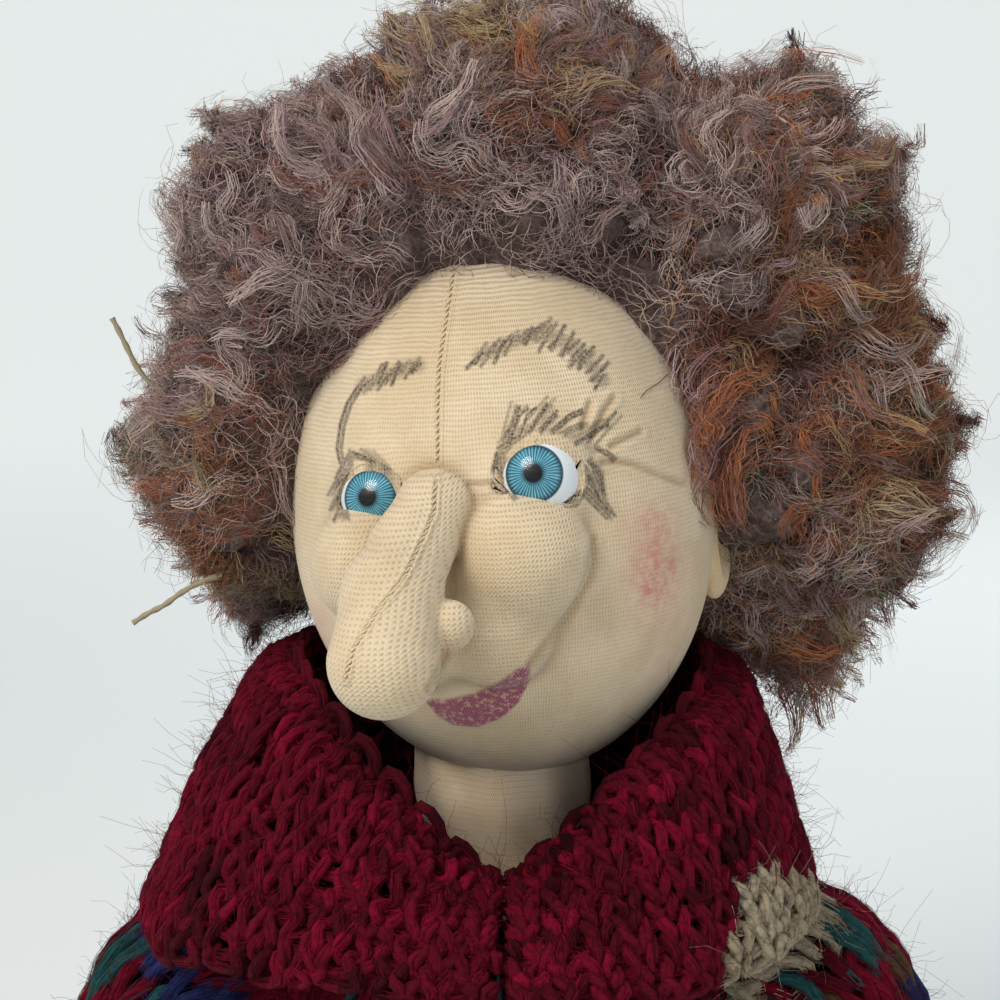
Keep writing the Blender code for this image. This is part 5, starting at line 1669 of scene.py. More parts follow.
def fuzz_mesh(name, paths, facing, radius, shades, count, seed, reach):
    """Loose fibres that stand off the yarn."""
    loose = np.random.default_rng(seed)
    rows, steps, _ = paths.shape
    row = loose.integers(0, rows, count)
    step = loose.integers(0, steps, count)
    base = paths[row, step]
    out = facing[row, step]
    away = unit(loose.normal(0.0, 1.0, (count, 3)) + out * 1.5)
    away = np.where((away * out).sum(axis=1)[:, None] < 0, -away, away)
    bend = loose.normal(0.0, 1.0, (count, 3)) * 1.9
    length = loose.uniform(*reach, count) * loose.uniform(0.3, 1.0, count) ** 1.5
    share = np.linspace(0.0, 1.0, FUZZ_POINTS)[None, :, None]
    long_way = length[:, None, None]
    curl = 2 * math.pi * share * loose.uniform(0.6, 1.6, (count, 1, 1))
    curl = curl + loose.uniform(0.0, 6.28, (count, 1, 1))
    side = unit(np.cross(away, bend))[:, None]
    ringed = (side * np.cos(curl) + np.cross(away[:, None], side) * np.sin(curl)) * share * long_way * 0.16
    strands = base[:, None] + away[:, None] * (radius * 0.8 + share * long_way) + ringed
    strands = strands + bend[:, None] * share ** 2 * long_way * 0.35
    radii = np.full((count, FUZZ_POINTS), FUZZ_RADIUS) * np.linspace(1.0, 0.6, FUZZ_POINTS)[None]
    mesh = mesh_of(name, *tubes(strands, radii, FUZZ_SIDES))
    stitch = np.minimum(step // STITCH_STEPS, shades.shape[1] - 1)
    mark_strands(mesh, FUZZ_POINTS, FUZZ_SIDES, shades[row, stitch] + 0.012, 0.3, 0.9)
    return mesh


yarn = Finish("wool_yarn", Roughness=0.9, Specular_IOR_Level=0.15)
flat = yarn.node("ShaderNodeUVMap", {"uv_map": "OFBake"})
shade = yarn.ramp(flat.part("x"), YARN_SHADES)
soft_light = yarn.noise(900.0, 3.0, None, 0.7).between(0.30, 0.62)
yarn.look("Base Color", yarn.mix((1 - soft_light) * 0.55, shade, linear("#1c0207")))
fibres = yarn.noise(3200.0, 3.0, None, 0.7)
yarn.raise_by(fibres, 0.00022)

# Painted shade: a near-black lining sits inside every knitted piece, so the gaps between stitches show as
# deep shade.
shadow_lining = Finish("shadow_lining", Base_Color=linear("#100104"), Roughness=0.95, Specular_IOR_Level=0.0)


def shades_of(rows, columns, seed, base=CRIMSON, spread=0.034):
    loose = np.random.default_rng(seed)
    return np.clip(base + loose.normal(0.0, spread, (rows, columns)), 0.01, 0.178)


def knit_piece(name, form, shades, body, nodes, radius=YARN_RADIUS, fuzz=0, seed=1, uneven=0.05, start=0.0,
               sweep=2 * math.pi, bends=None, depth=LOOP_DEPTH, reach=FUZZ_REACH, rib=0.0):
    """Knits a piece on a form, with its fuzz, and sets both on their body, or fixes them where they stand
    when bends are given.

    shades holds each stitch's place on the row of shades, row by row.
    """
    rows, columns = shades.shape
    knit = knit_rows(form, columns, rows, radius, start, sweep, depth, uneven, seed, rib)
    meshes = [yarn_mesh(name, *knit, radius, shades, seed + 90)]
    fuzz = int(fuzz * FUZZ_SHARE)
    if fuzz:
        streaks = int(fuzz * STREAKS_PER_FUZZ)
        meshes.append(hugging_mesh(name + "_streaks", *knit, radius, shades, streaks, seed + 70))
        meshes.append(fuzz_mesh(name + "_fuzz", *knit, radius, shades, fuzz, seed + 50, reach))
    for mesh in meshes:
        settle(new_object(mesh.name, mesh, yarn), body, "crimson_knit", nodes, bends)


def collar_outline(turn):
    """The collar's height at an angle from straight ahead, and its radii at the fold and at the foot."""
    away = np.abs(np.mod(turn + math.pi, 2 * math.pi) - math.pi)
    full_at = COLLAR_RISE_ANGLE * (1.0 + COLLAR_SLANT * np.sin(turn))
    share = np.clip((away - COLLAR_SLIT) / (full_at - COLLAR_SLIT), 0.0, 1.0)
    rise = np.interp(share, *COLLAR_RISE_SHARES)
    height = COLLAR_FRONT_TOP + (COLLAR_TOP - COLLAR_FRONT_TOP) * rise - COLLAR_FOOT
    lean = COLLAR_TOP_RADIUS - COLLAR_NECK_RADIUS
    inner_top = COLLAR_NECK_RADIUS + lean * (0.35 + 0.65 * height / (COLLAR_TOP - COLLAR_FOOT))
    outer_top = inner_top + COLLAR_EDGE
    foot = COLLAR_FRONT_RADIUS + (COLLAR_SIDE_RADIUS - COLLAR_FRONT_RADIUS) * np.minimum(1.0, share * 1.4)
    foot = foot * (1.0 - COLLAR_PINCH * np.clip(np.sin(turn), 0.0, 1.0) ** 3)
    return height, inner_top, outer_top, foot


def around(turn, radius, height):
    return xyz(radius * np.sin(turn), -radius * np.cos(turn), height)


def flap_place(turn, along):
    """The outer side of the collar, from its fold at 0 to its lower edge at 1."""
    height, inner_top, outer_top, foot = collar_outline(turn)
    along = along * (1.0 + COLLAR_TURN_IN) - COLLAR_TURN_IN
    shares = (-0.24, -0.12, 0.0, 0.12, 0.45, 0.85, 1.15)
    inset = 0.0016
    spread = foot - outer_top
    radii = (
        inner_top + 0.0004, inner_top + 0.0012, inner_top + COLLAR_EDGE * 0.45, outer_top - inset * 0.6,
        outer_top + spread * 0.52 - inset, foot - inset, foot + spread * 0.20 - inset,
    )
    radius = np.zeros_like(turn) + radii[0]
    for first, second, low, high in zip(shares, shares[1:], radii, radii[1:]):
        share = np.clip((along - first) / (second - first), 0.0, 1.0)
        radius = np.where(along >= first, low + (high - low) * share, radius)
    level = np.interp(along, shares, (0.90, 0.985, 1.0, 0.95, 0.60, 0.13, -0.20))
    ripple = 0.0011 * np.sin(turn * 5 + 1.3) * np.clip(along, 0.0, 1.0) ** 2
    lift = 0.0009 * np.sin(turn * 3 + 0.4 + along * 2.5)
    return around(turn, radius + ripple, COLLAR_FOOT + height * level - 0.0012 + lift)


def inside_place(turn, along):
    """The inner side of the collar, from its foot at 0 to its fold at 1."""
    height, inner_top = collar_outline(turn)[:2]
    radius = COLLAR_NECK_RADIUS + 0.0014 + (inner_top - COLLAR_NECK_RADIUS) * np.clip(along, 0.0, 1.1) ** 1.3
    return around(turn, radius, COLLAR_FOOT - 0.006 + (height + 0.005) * along)


flap_form = Form(lambda turn, along: flap_place(-turn, along))
collar_shades = shades_of(COLLAR_FLAP_ROWS, COLLAR_COLUMNS, 21)
for row, low, high in COLLAR_BEIGE:
    for column in range(COLLAR_COLUMNS):
        if low < (column + 0.5) / COLLAR_COLUMNS * 360 < high:
            collar_shades[row, column] = BEIGE + 0.02 * math.sin(column * 1.7)
sweep = 2 * math.pi - 2 * COLLAR_SLIT
knit_piece(
    "collar_flap", flap_form, collar_shades, "trunk", ["collar"],
    fuzz=8200, seed=3, start=COLLAR_SLIT, sweep=sweep, uneven=0.20, reach=(0.0018, 0.0070),
)
inside_shades = shades_of(COLLAR_INSIDE_ROWS, COLLAR_INSIDE_COLUMNS, 22, 0.06)
knit_piece(
    "collar_inside", Form(inside_place), inside_shades, "trunk", ["collar"],
    fuzz=2500, seed=4, start=COLLAR_SLIT, sweep=sweep,
)

# The collar's lining is painted shade, seen through the gaps between stitches.
lining_turns = np.linspace(COLLAR_SLIT, 2 * math.pi - COLLAR_SLIT, LINING_SIDES)


def lining_ring(place, along, outset, drop):
    """A row of points round the collar, moved out from the knit and down."""
    spots = place(lining_turns, np.full(LINING_SIDES, along))
    return spots + around(lining_turns, outset, -drop)


lining_rows = [lining_ring(inside_place, along, 0.0012, 0.0) for along in np.linspace(0.05, 0.96, 14)]
lining_rows += [lining_ring(flap_place, along, -0.0013, 0.0009) for along in np.linspace(0.03, 0.92, 18)]
inner = lining_ring(inside_place, 0.06, 0.0, 0.0)
outer = lining_ring(flap_place, 0.90, 0.0, 0.0012)
lining_rows += [inner + (outer - inner) * share for share in (0.7, 0.3, 0.08)]
lining = np.asarray(lining_rows + lining_rows[:1])
index = np.arange(len(lining) * LINING_SIDES).reshape(-1, LINING_SIDES)
quads = np.stack([index[:-1, :-1], index[:-1, 1:], index[1:, 1:], index[1:, :-1]], axis=-1).reshape(-1, 4)
lining_piece = new_object("collar_lining", mesh_of("collar_lining", lining, quads), shadow_lining)
settle(lining_piece, "trunk", "crimson_knit", ["collar"])


# Sweater body
# Front and back knitted in plain stitches of the same wool as the collar, with a ribbed
# hem, over a stuffed calico torso. Beige and coloured stitches make a traditional band.

TORSO_WIDTH = 0.062
TORSO_DEPTH = 0.048
TORSO_HEIGHT = 0.1175
TORSO_SHARES = (0.0, 0.05, 0.15, 0.32, 0.44, 0.56, 0.72, 0.86, 0.93, 0.98, 1.0)
TORSO_ACROSS = (0.62, 0.86, 1.0, 0.98, 0.92, 0.88, 0.96, 0.98, 0.84, 0.60, 0.46)
TORSO_THROUGH = (0.50, 0.74, 0.98, 0.98, 0.92, 0.87, 0.90, 0.84, 0.72, 0.54, 0.56)
TORSO_BACK = (0.34, 0.20, 0.02, 0.0, 0.0, 0.0, 0.0, 0.0, 0.0, 0.0, 0.0)
TORSO_SQUARENESS = 2.5
TORSO_SIDES = 96
SHOULDER_SHARE = 0.86
KNIT_OUTSET = 0.0044
KNIT_BOTTOM = 0.0520
KNIT_TOP_SHARE = 0.965
HEM_BOTTOM = 0.0402
LINING_SHARE = np.array((0.95, 0.95, 1.0))
BODY_COLUMNS = 38
BODY_ROWS = 15
HEM_COLUMNS = 44
HEM_ROWS = 3
BAND_ROWS = {
    3: "nbnbnbnb", 4: "bbbbbbbb", 5: "rtrtrtrt", 6: "bbbbbbbb", 7: "nbnbnbnb", 11: "rrtrrrtr", 13: "rtrrrtrr",
}
BAND_SHADES = {"r": CRIMSON, "b": BEIGE, "t": TEAL, "n": NAVY, "w": BROWN, "o": OLIVE}


def rounded_box(turn, half_across, half_through, squareness=TORSO_SQUARENESS):
    """Points round an oval with filled corners, spread evenly, from straight ahead."""
    dense = np.linspace(0.0, 2 * math.pi, 721)
    power = 2.0 / squareness
    east = np.sign(np.sin(dense)) * np.abs(np.sin(dense)) ** power
    south = np.sign(np.cos(dense)) * np.abs(np.cos(dense)) ** power
    walked = lengths_along(np.stack([east, south], axis=1))
    spread = np.interp(np.mod(turn, 2 * math.pi), walked / walked[-1] * 2 * math.pi, dense)
    across = np.sign(np.sin(spread)) * np.abs(np.sin(spread)) ** power * half_across
    ahead = np.sign(np.cos(spread)) * np.abs(np.cos(spread)) ** power * half_through
    return across, -ahead


def torso_place(turn, level, outset):
    """A point on the torso's skin, moved out by outset, at a share of its height."""
    across = np.interp(level, TORSO_SHARES, TORSO_ACROSS) * TORSO_WIDTH / 2 + outset
    through = np.interp(level, TORSO_SHARES, TORSO_THROUGH) * TORSO_DEPTH / 2 + outset
    back = np.interp(level, TORSO_SHARES, TORSO_BACK) * TORSO_DEPTH / 2
    x, y = rounded_box(turn, across, through)
    over = np.clip((level - SHOULDER_SHARE) / (0.97 - SHOULDER_SHARE), 0.0, 1.0)
    return xyz(x, y + back, level * TORSO_HEIGHT + np.minimum(1.0, over * 1.4) * outset)


def body_place(turn, along):
    low = KNIT_BOTTOM / TORSO_HEIGHT
    return torso_place(turn, low + (KNIT_TOP_SHARE - low) * along, KNIT_OUTSET)


def hem_place(turn, along):
    low = HEM_BOTTOM / TORSO_HEIGHT
    return torso_place(turn, low + (KNIT_BOTTOM / TORSO_HEIGHT - low) * along, KNIT_OUTSET + 0.0006)


def banded(rows, columns, seed, pattern):
    """Shades of a knitted piece whose patterned rows repeat a word of colour letters."""
    shades = shades_of(rows, columns, seed)
    for row, word in pattern.items():
        for column in range(columns):
            letter = word[column % len(word)]
            if row < rows and letter != "r":
                shades[row, column] = BAND_SHADES[letter] + 0.018 * math.sin(column * 2.3 + row)
    return shades


def rings_of(place, turns, alongs):
    return np.array([place(turns, np.full(len(turns), along)) for along in alongs])


def closed_ends(rows, share=0.02):
    """Adds a small ring inside each end of a row of rings, which closes it."""
    first, last = [ring.mean(axis=0) + (ring - ring.mean(axis=0)) * share for ring in (rows[0], rows[-1])]
    return [first] + list(rows) + [last]


calico = Finish("calico", Roughness=0.9)
calico_place = calico.place()
warp = (calico_place.part("z") * (2 * math.pi / 0.0007)).wave()
weft = ((calico_place.part("x") + calico_place.part("y")) * (2 * math.pi / 0.0007)).wave()
calico.look("Base Color", calico.mix(calico.noise(120.0, 4.0), linear("#c5b08a"), linear("#e0d1b2")))
calico.raise_by(warp * weft * 0.5 + 0.5, 0.00012)

turns = np.linspace(0.0, 2 * math.pi, TORSO_SIDES, endpoint=False)
rows = closed_ends([torso_place(turns, level, 0.0) for level in np.linspace(0.004, 1.0, 50)])
turned_piece("torso_stuffed", rows, calico, "trunk", "body_calico", ["torso"])

body_shades = banded(BODY_ROWS, BODY_COLUMNS, 31, BAND_ROWS)
hem_shades = shades_of(HEM_ROWS, HEM_COLUMNS, 32)
knit_piece(
    "sweater_front_and_back", Form(body_place), body_shades, "trunk", ["sweater_body"],
    radius=0.00108, fuzz=6000, seed=6, uneven=0.12,
)
knit_piece(
    "sweater_hem_rib", Form(hem_place), hem_shades, "trunk", ["sweater_hem"],
    radius=0.00105, fuzz=2500, seed=7, rib=0.0008,
)
# The linings of the sweater and its hem are painted shade behind the stitches.
for name, place, alongs in (
    ("sweater_lining", body_place, (0.02, 0.99)),
    ("hem_lining", hem_place, (0.04, 0.96)),
):
    rows = rings_of(place, turns, np.linspace(*alongs, 24)) * LINING_SHARE
    turned_piece(name, rows, shadow_lining, "trunk", "crimson_knit", None)


# Arms and sleeves
# Each sleeve is a knitted tube with a traditional pattern, sewn in at the shoulder, over
# a stuffed arm with a flat stitched elbow. A ribbed cuff closes it above a mitten hand.

SHOULDER_HEIGHT = 0.104
ARMPIT_OFFSET = 0.0368
ARMHOLE_SINK = 0.0016
ARM_TURN_RADIUS = 0.0146
ARM_SWING = math.radians(10.0)
ELBOW_BEND = math.radians(25.0)
ELBOW_DROP = 0.0450
ELBOW_BLEND = (0.006, -0.006)
SHOULDER_BLEND = ((0.0350, 0.0, 0.104), (0.0490, -0.002, 0.094))
UPPER_ARM_LENGTH = 0.0300
FOREARM_LENGTH = 0.0400
SLEEVE_RADII = (0.0126, 0.0150, 0.0142, 0.0122, 0.0112, 0.0104)
SLEEVE_RADII_AT = (0.0, 0.25, 0.5, 0.66, 0.85, 1.0)
SLEEVE_LINING_INSET = 0.0012
SLEEVE_COLUMNS = 15
SLEEVE_ROWS = 18
SLEEVE_SPLIT_ROW = 9
SLEEVE_PATTERNS = {
    "left": {
        0: "bbbbb", 1: "bbbrb", 2: "rtrtr", 3: "wrrwr", 4: "nrrnr", 5: "rrtrr",
        7: "bbbbb", 8: "nbwbn", 9: "bbbbb", 12: "rtrrr",
    },
    "right": {
        0: "wrwrr", 1: "nrnnr", 2: "nnrnn", 3: "rtrrt", 4: "rrwrr",
        7: "bbbbb", 8: "nbwbn", 9: "bbbbb", 12: "rtrrr",
    },
}
CUFF_START = FOREARM_LENGTH * 0.765
CUFF_LENGTH = 0.0100
CUFF_RADII = (0.0104, 0.0094)
CUFF_ROWS = 3
CUFF_LINING_SHARE = 0.9
HAND_SIDES = 40
HAND_START = 0.0300
HAND_LENGTH = 0.0284
HAND_HALF = 0.0080
HAND_SHARES = (0.0, 0.10, 0.25, 0.45, 0.62, 0.80, 0.92, 0.98, 1.0)
HAND_ACROSS = (0.66, 0.64, 0.66, 0.58, 0.62, 0.60, 0.46, 0.28, 0.10)
HAND_THROUGH = (0.66, 0.66, 0.74, 1.02, 1.06, 0.94, 0.66, 0.38, 0.12)
FOREARM_GAP = 0.0004
FOREARM_HALF = 0.0082
FOREARM_ROWS = ((0.0, 0.94, 0.06), (0.08, 0.97, 0.40), (0.25, 1.0, 0.80), (0.55, 0.96, 0.86))
THUMB_START = (0.0, -0.0034, -0.0449)
THUMB_RUN = (0.0, -0.0076, -0.0045)
THUMB_WAY = (0.0, -0.86, -0.51)
THUMB_RADIUS = 0.0032
THUMB_ROWS = ((0.0, 0.8), (0.3, 1.0), (0.6, 1.0), (0.85, 0.78), (0.97, 0.42), (1.0, 0.1))
UPPER_ARM_ROWS = (
    (0.0314, 0.0, 0.0066, 0.0066), (0.0372, 0.0, 0.0068, 0.0068), (0.0440, 0.0020, 0.0082, 0.0082),
    (0.0494, 0.0070, 0.0090, 0.0090), (0.0514, 0.0146, 0.0095, 0.0095), (0.0514, 0.0250, 0.0095, 0.0092),
    (0.0514, 0.0362, 0.0093, 0.0071), (0.0514, 0.0444, 0.0090, 0.0006),
)


def arm_places(side):
    """Where the shoulder's and the elbow's hinges put what is made hanging straight down."""
    shoulder = Matrix.Translation((0.0, 0.0, SHOULDER_HEIGHT)) @ Matrix.Rotation(-ARM_SWING, 4, "X")
    offset = side * (ARMPIT_OFFSET + ARM_TURN_RADIUS)
    elbow = shoulder @ Matrix.Translation((offset, 0.0, -ELBOW_DROP)) @ Matrix.Rotation(-ELBOW_BEND, 4, "X")
    return shoulder, elbow


def sleeve_path(side):
    """Centre points of a sleeve, from the armhole round the shoulder and down to the wrist."""
    shoulder, elbow = arm_places(side)
    turn = np.linspace(0.0, math.pi / 2, 13)
    out = ARMPIT_OFFSET + ARM_TURN_RADIUS * np.sin(turn)
    out[0] -= ARMHOLE_SINK
    over = xyz(side * out, 0.0, ARM_TURN_RADIUS * (np.cos(turn) - 1))
    drops = np.linspace(0.004, UPPER_ARM_LENGTH - 0.005, 8)
    down = xyz(side * (ARMPIT_OFFSET + ARM_TURN_RADIUS), 0.0, -ARM_TURN_RADIUS - drops)
    lower = xyz(0.0, 0.0, -np.linspace(0.006, CUFF_START, 8))
    return np.concatenate([moved_by(shoulder, over), moved_by(shoulder, down), moved_by(elbow, lower)])


def tube_form(points, radii_at, radii):
    """A round tube on a path as a form to knit on, from its start at 0 to its end at 1."""
    walked = lengths_along(points)
    dense = np.linspace(0.0, 1.0, 241)
    path = read_along(dense, walked / walked[-1], points)
    for _ in range(60):
        path[1:-1] += ((path[:-2] + path[2:]) / 2 - path[1:-1]) * 0.5
    ahead = unit(np.gradient(path, axis=0))
    across = unit(np.cross(ahead, np.array((0.0, 1.0, 0.0))))
    through = np.cross(ahead, across)

    def place(turn, along):
        spot, first, second, way = [read_along(along, dense, rows) for rows in (path, across, through, ahead)]
        beyond = (np.minimum(along, 0.0) + np.maximum(along - 1.0, 0.0)) * 0.08
        radius = np.interp(along, radii_at, radii)
        ring = first * (radius * np.cos(turn))[..., None] + second * (radius * np.sin(turn))[..., None]
        return spot + way * beyond[..., None] + ring

    return Form(place)


def stretch_of(form, low, high):
    """A part of a form, as a form of its own."""
    return Form(lambda turn, along: form.place(turn, low + (high - low) * along))


def loft(rows, count):
    """More rings between rows of rings, on smooth lines through them."""
    rows = np.asarray(rows)
    inner = np.linspace(0.0, len(rows) - 1.0, count)
    first = np.clip(inner.astype(int), 0, len(rows) - 2)
    share = (inner - first)[:, None, None]
    before = rows[np.maximum(first - 1, 0)]
    after = rows[np.minimum(first + 2, len(rows) - 1)]
    low, high = rows[first], rows[first + 1]
    eased_share = 3 * share ** 2 - 2 * share ** 3
    leaving = (high - before) / 2 * (share ** 3 - 2 * share ** 2 + share)
    arriving = (after - low) / 2 * (share ** 3 - share ** 2)
    return low * (1 - eased_share) + high * eased_share + leaving + arriving


def oval(centre, across, over, sides):
    """A ring of points round a centre, on an oval with those two half axes."""
    turn = np.linspace(0.0, 2 * math.pi, sides, endpoint=False)[:, None]
    return np.array(centre) + np.cos(turn) * np.array(across) + np.sin(turn) * np.array(over)


def arm_ring(drop, across, through):
    """A ring across an arm that hangs straight down."""
    return oval((0.0, 0.0, -drop), (across, 0.0, 0.0), (0.0, through, 0.0), HAND_SIDES)


def upper_arm_ring(side, out, drop, across, through):
    """A ring across the stuffed upper arm, which turns down from the shoulder."""
    lean = min(1.0, drop / ARM_TURN_RADIUS) * math.pi / 2
    wide = np.array((side * math.sin(lean), 0.0, math.cos(lean)))
    return oval((side * out, 0.0, -drop), wide * across, (0.0, through, 0.0), HAND_SIDES)


hand_jersey = jersey_finish("hand_jersey", "#dcc49a", "#cdb084", 0.00060, 0.00075, False)
tube_turns = turns[::3]
for side, word in ((1.0, "left"), (-1.0, "right")):
    shoulder, elbow = arm_places(side)
    upper_arm, forearm = "upper_arm_" + word, "forearm_" + word
    radii = np.array(SLEEVE_RADII)
    sleeve = tube_form(sleeve_path(side), SLEEVE_RADII_AT, radii)
    sleeve_lining = tube_form(sleeve_path(side), SLEEVE_RADII_AT, radii - SLEEVE_LINING_INSET)
    split = SLEEVE_SPLIT_ROW / SLEEVE_ROWS
    shades = banded(SLEEVE_ROWS, SLEEVE_COLUMNS, 41 + int(side), SLEEVE_PATTERNS[word])
    at_shoulder = ["trunk", upper_arm] + [(side * x, y, z) for x, y, z in SHOULDER_BLEND]
    at_elbow = [upper_arm, forearm] + [tuple(elbow @ Vector((0.0, 0.0, z))) for z in ELBOW_BLEND]
    knit_piece(
        "sleeve_top_" + word, stretch_of(sleeve, 0.0, split), shades[:SLEEVE_SPLIT_ROW], None,
        ["sleeve_upper_" + word], radius=0.00124, fuzz=5000, seed=8, bends=at_shoulder, uneven=0.14,
        reach=(0.0018, 0.0060),
    )
    knit_piece(
        "sleeve_fore_" + word, stretch_of(sleeve, split, 1.0), shades[SLEEVE_SPLIT_ROW:], None,
        ["sleeve_lower_" + word], radius=0.00104, fuzz=4500, seed=9, bends=at_elbow,
    )
    # The sleeve linings are painted shade behind the stitches.
    for name, low, high, bends in (
        ("sleeve_top_lining_", 0.0, split, at_shoulder),
        ("sleeve_fore_lining_", split, 1.0, at_elbow),
    ):
        rows = rings_of(stretch_of(sleeve_lining, low, high).place, tube_turns, np.linspace(0.0, 1.0, 30))
        turned_piece(name + word, rows, shadow_lining, None, "crimson_knit", None, bends)
    cuff_path = moved_by(elbow, xyz(0.0, 0.0, -CUFF_START - CUFF_LENGTH * np.array((0.0, 0.5, 1.0))))
    cuff = tube_form(cuff_path, (0.0, 1.0), CUFF_RADII)
    knit_piece(
        "cuff_rib_" + word, cuff, shades_of(CUFF_ROWS, SLEEVE_COLUMNS + 3, 43), forearm, ["cuff_" + word],
        radius=0.00096, fuzz=1500, seed=10, rib=0.0006,
    )
    # The cuff lining is painted shade behind the stitches.
    rows = rings_of(cuff.place, tube_turns, np.linspace(0.0, 0.95, 8))
    middles = rows.mean(axis=1, keepdims=True)
    rows = middles + (rows - middles) * CUFF_LINING_SHARE
    turned_piece("cuff_lining_" + word, rows, shadow_lining, forearm, "crimson_knit", None)

    rows = []
    for share, wide, fill in FOREARM_ROWS:
        rows.append(arm_ring(FOREARM_GAP + FOREARM_LENGTH * share, FOREARM_HALF * wide, HAND_HALF * fill))
    for share, wide, fill in zip(HAND_SHARES, HAND_ACROSS, HAND_THROUGH):
        rows.append(arm_ring(HAND_START + HAND_LENGTH * share, HAND_HALF * wide, HAND_HALF * fill))
    thumb_over = np.cross(THUMB_WAY, (1.0, 0.0, 0.0))
    thumb_rows = []
    for share, wide in THUMB_ROWS:
        spot = np.array(THUMB_START) + np.array(THUMB_RUN) * share
        radius = THUMB_RADIUS * wide
        thumb_rows.append(oval(spot, (radius, 0.0, 0.0), thumb_over * radius, HAND_SIDES))
    arm_rows = [upper_arm_ring(side, *row) for row in UPPER_ARM_ROWS]
    for name, rings, count, finish, body, slot, nodes, place in (
        ("arm_and_hand_", rows, 60, hand_jersey, forearm, "face_jersey", [forearm], elbow),
        ("thumb_", thumb_rows, 24, hand_jersey, forearm, "face_jersey", None, elbow),
        ("arm_stuffed_", arm_rows, 40, calico, upper_arm, "body_calico", [upper_arm], shoulder),
    ):
        rings = closed_ends(loft(rings, count))
        turned_piece(name + word, rings, finish, body, slot, nodes, place=place)


# Trousers and legs
# Straight navy cotton trousers over stuffed calico legs with a flat stitched knee, so
# that the doll sits with its legs out in front.

HIP_PLACE = (0.0180, -0.0242, 0.0170)
LEG_SPLAY = math.radians(6.0)
THIGH_LENGTH = 0.0700
SHIN_LENGTH = 0.0660
KNEE_GAP = 0.0008
LEG_GAP = 0.0004
LEG_SIDES = 64
THIGH_ROWS = (
    (0.0, 0.80, 0.04), (0.12, 0.95, 0.62), (0.3, 1.0, 1.0), (0.6, 0.97, 0.96), (0.86, 0.90, 0.62),
    (1.0, 0.84, 0.04),
)
SHIN_ROWS = ((0.0, 0.86, 0.04), (0.14, 0.94, 0.66), (0.4, 1.0, 1.0), (0.7, 0.86, 0.86), (1.0, 0.72, 0.72))
THIGH_SIZE = (0.0270, 0.0285)
SHIN_SIZE = (0.0240, 0.0250)
LEG_CLOTH_ROWS = (
    (-0.006, 0.0132, 0.0140), (0.004, 0.0142, 0.0146), (0.021, 0.0152, 0.0160), (0.042, 0.0149, 0.0156),
    (0.0602, 0.0141, 0.0128), (0.0708, 0.0132, 0.0112), (0.0810, 0.0136, 0.0122), (0.0972, 0.0138, 0.0142),
    (0.110, 0.0130, 0.0132), (0.1166, 0.0134, 0.0136),
)
LEG_CLOTH_SPLIT = 0.058
LEG_CLOTH_OVERLAP = 0.0012
LEG_CLOTH_FOLDS = 0.00022
SEAT_CLOTH_TOP = 0.0640
SEAT_CLOTH_OUTSET = 0.0016

navy_cotton = Finish("navy_cotton", Roughness=0.9, Sheen_Weight=0.15)
cotton_place = navy_cotton.place()
diagonal = cotton_place.part("x") + cotton_place.part("y") * 0.6 + cotton_place.part("z")
twill = (diagonal * (2 * math.pi / 0.0008)).wave()
wear_and_dent_shade = navy_cotton.noise(140.0, 4.0, None, 0.6).between(0.35, 0.75)
navy_cotton.look("Base Color", navy_cotton.mix(wear_and_dent_shade, linear("#20263c"), linear("#3a4258")))
navy_cotton.raise_by(twill * 0.5 + 0.5, 0.00012)

leg_turns = np.linspace(0.0, 2 * math.pi, LEG_SIDES, endpoint=False)


def leg_places(side):
    """Where the hip's and the knee's hinges put what is made pointing straight forward."""
    hip = Matrix.Translation(mirrored(HIP_PLACE, side)) @ Matrix.Rotation(side * LEG_SPLAY, 4, "Z")
    return hip, hip @ Matrix.Translation((0.0, -THIGH_LENGTH - KNEE_GAP, 0.0))


def leg_ring(distance, across, through, folds=0.0):
    """A ring across a leg that points forward, with the cloth's small folds."""
    crease = folds * (np.sin(leg_turns * 3 + distance * 260) + 0.6 * np.sin(leg_turns * 7 - distance * 410))
    return xyz((across + crease) * np.cos(leg_turns), -distance, (through + crease) * np.sin(leg_turns))


for side, word in ((1.0, "left"), (-1.0, "right")):
    hip, knee = leg_places(side)
    thigh, shin = "thigh_" + word, "shin_" + word
    for name, node, table, size, length, place in (
        ("leg_stuffed_", thigh, THIGH_ROWS, THIGH_SIZE, THIGH_LENGTH, hip),
        ("calf_stuffed_", shin, SHIN_ROWS, SHIN_SIZE, SHIN_LENGTH, knee),
    ):
        rows = []
        for share, wide, fill in table:
            rows.append(leg_ring(LEG_GAP + share * length, size[0] / 2 * wide, size[1] / 2 * fill))
        rings = closed_ends(loft(rows, 48))
        limb = turned_piece(name + word, rings, calico, node, "body_calico", [node], place=place)
    cloth_rows = loft([leg_ring(*row, folds=LEG_CLOTH_FOLDS) for row in LEG_CLOTH_ROWS], 120)
    reach = -cloth_rows[:, 0, 1]
    for name, bodies, own, joint, blend in (
        ("thigh_", ["trunk", thigh], reach <= LEG_CLOTH_SPLIT + LEG_CLOTH_OVERLAP, hip, (0.004, -0.012)),
        ("shin_", [thigh, shin], reach >= LEG_CLOTH_SPLIT, knee, (0.008, -0.008)),
    ):
        bends = bodies + [tuple(joint @ Vector((0.0, y, 0.0))) for y in blend]
        cloth = turned_piece(
            "trousers_over_" + name + word, cloth_rows[own], navy_cotton, None, "trouser_cloth",
            ["trouser_" + name + word], bends, hip,
        )
        name + word

levels = np.linspace(0.0, SEAT_CLOTH_TOP / TORSO_HEIGHT, 40)
rows = [torso_place(turns, level, SEAT_CLOTH_OUTSET) for level in levels]
rows.insert(0, rows[0] * 0.02)
seat = turned_piece("trousers_round_hips", rows, navy_cotton, "trunk", "trouser_cloth", ["trousers_seat"])


# Boots
# Soft brown felt boots, turned up at the toe as the doll sits, each with a thicker felt
# sole sewn on with small stitches.

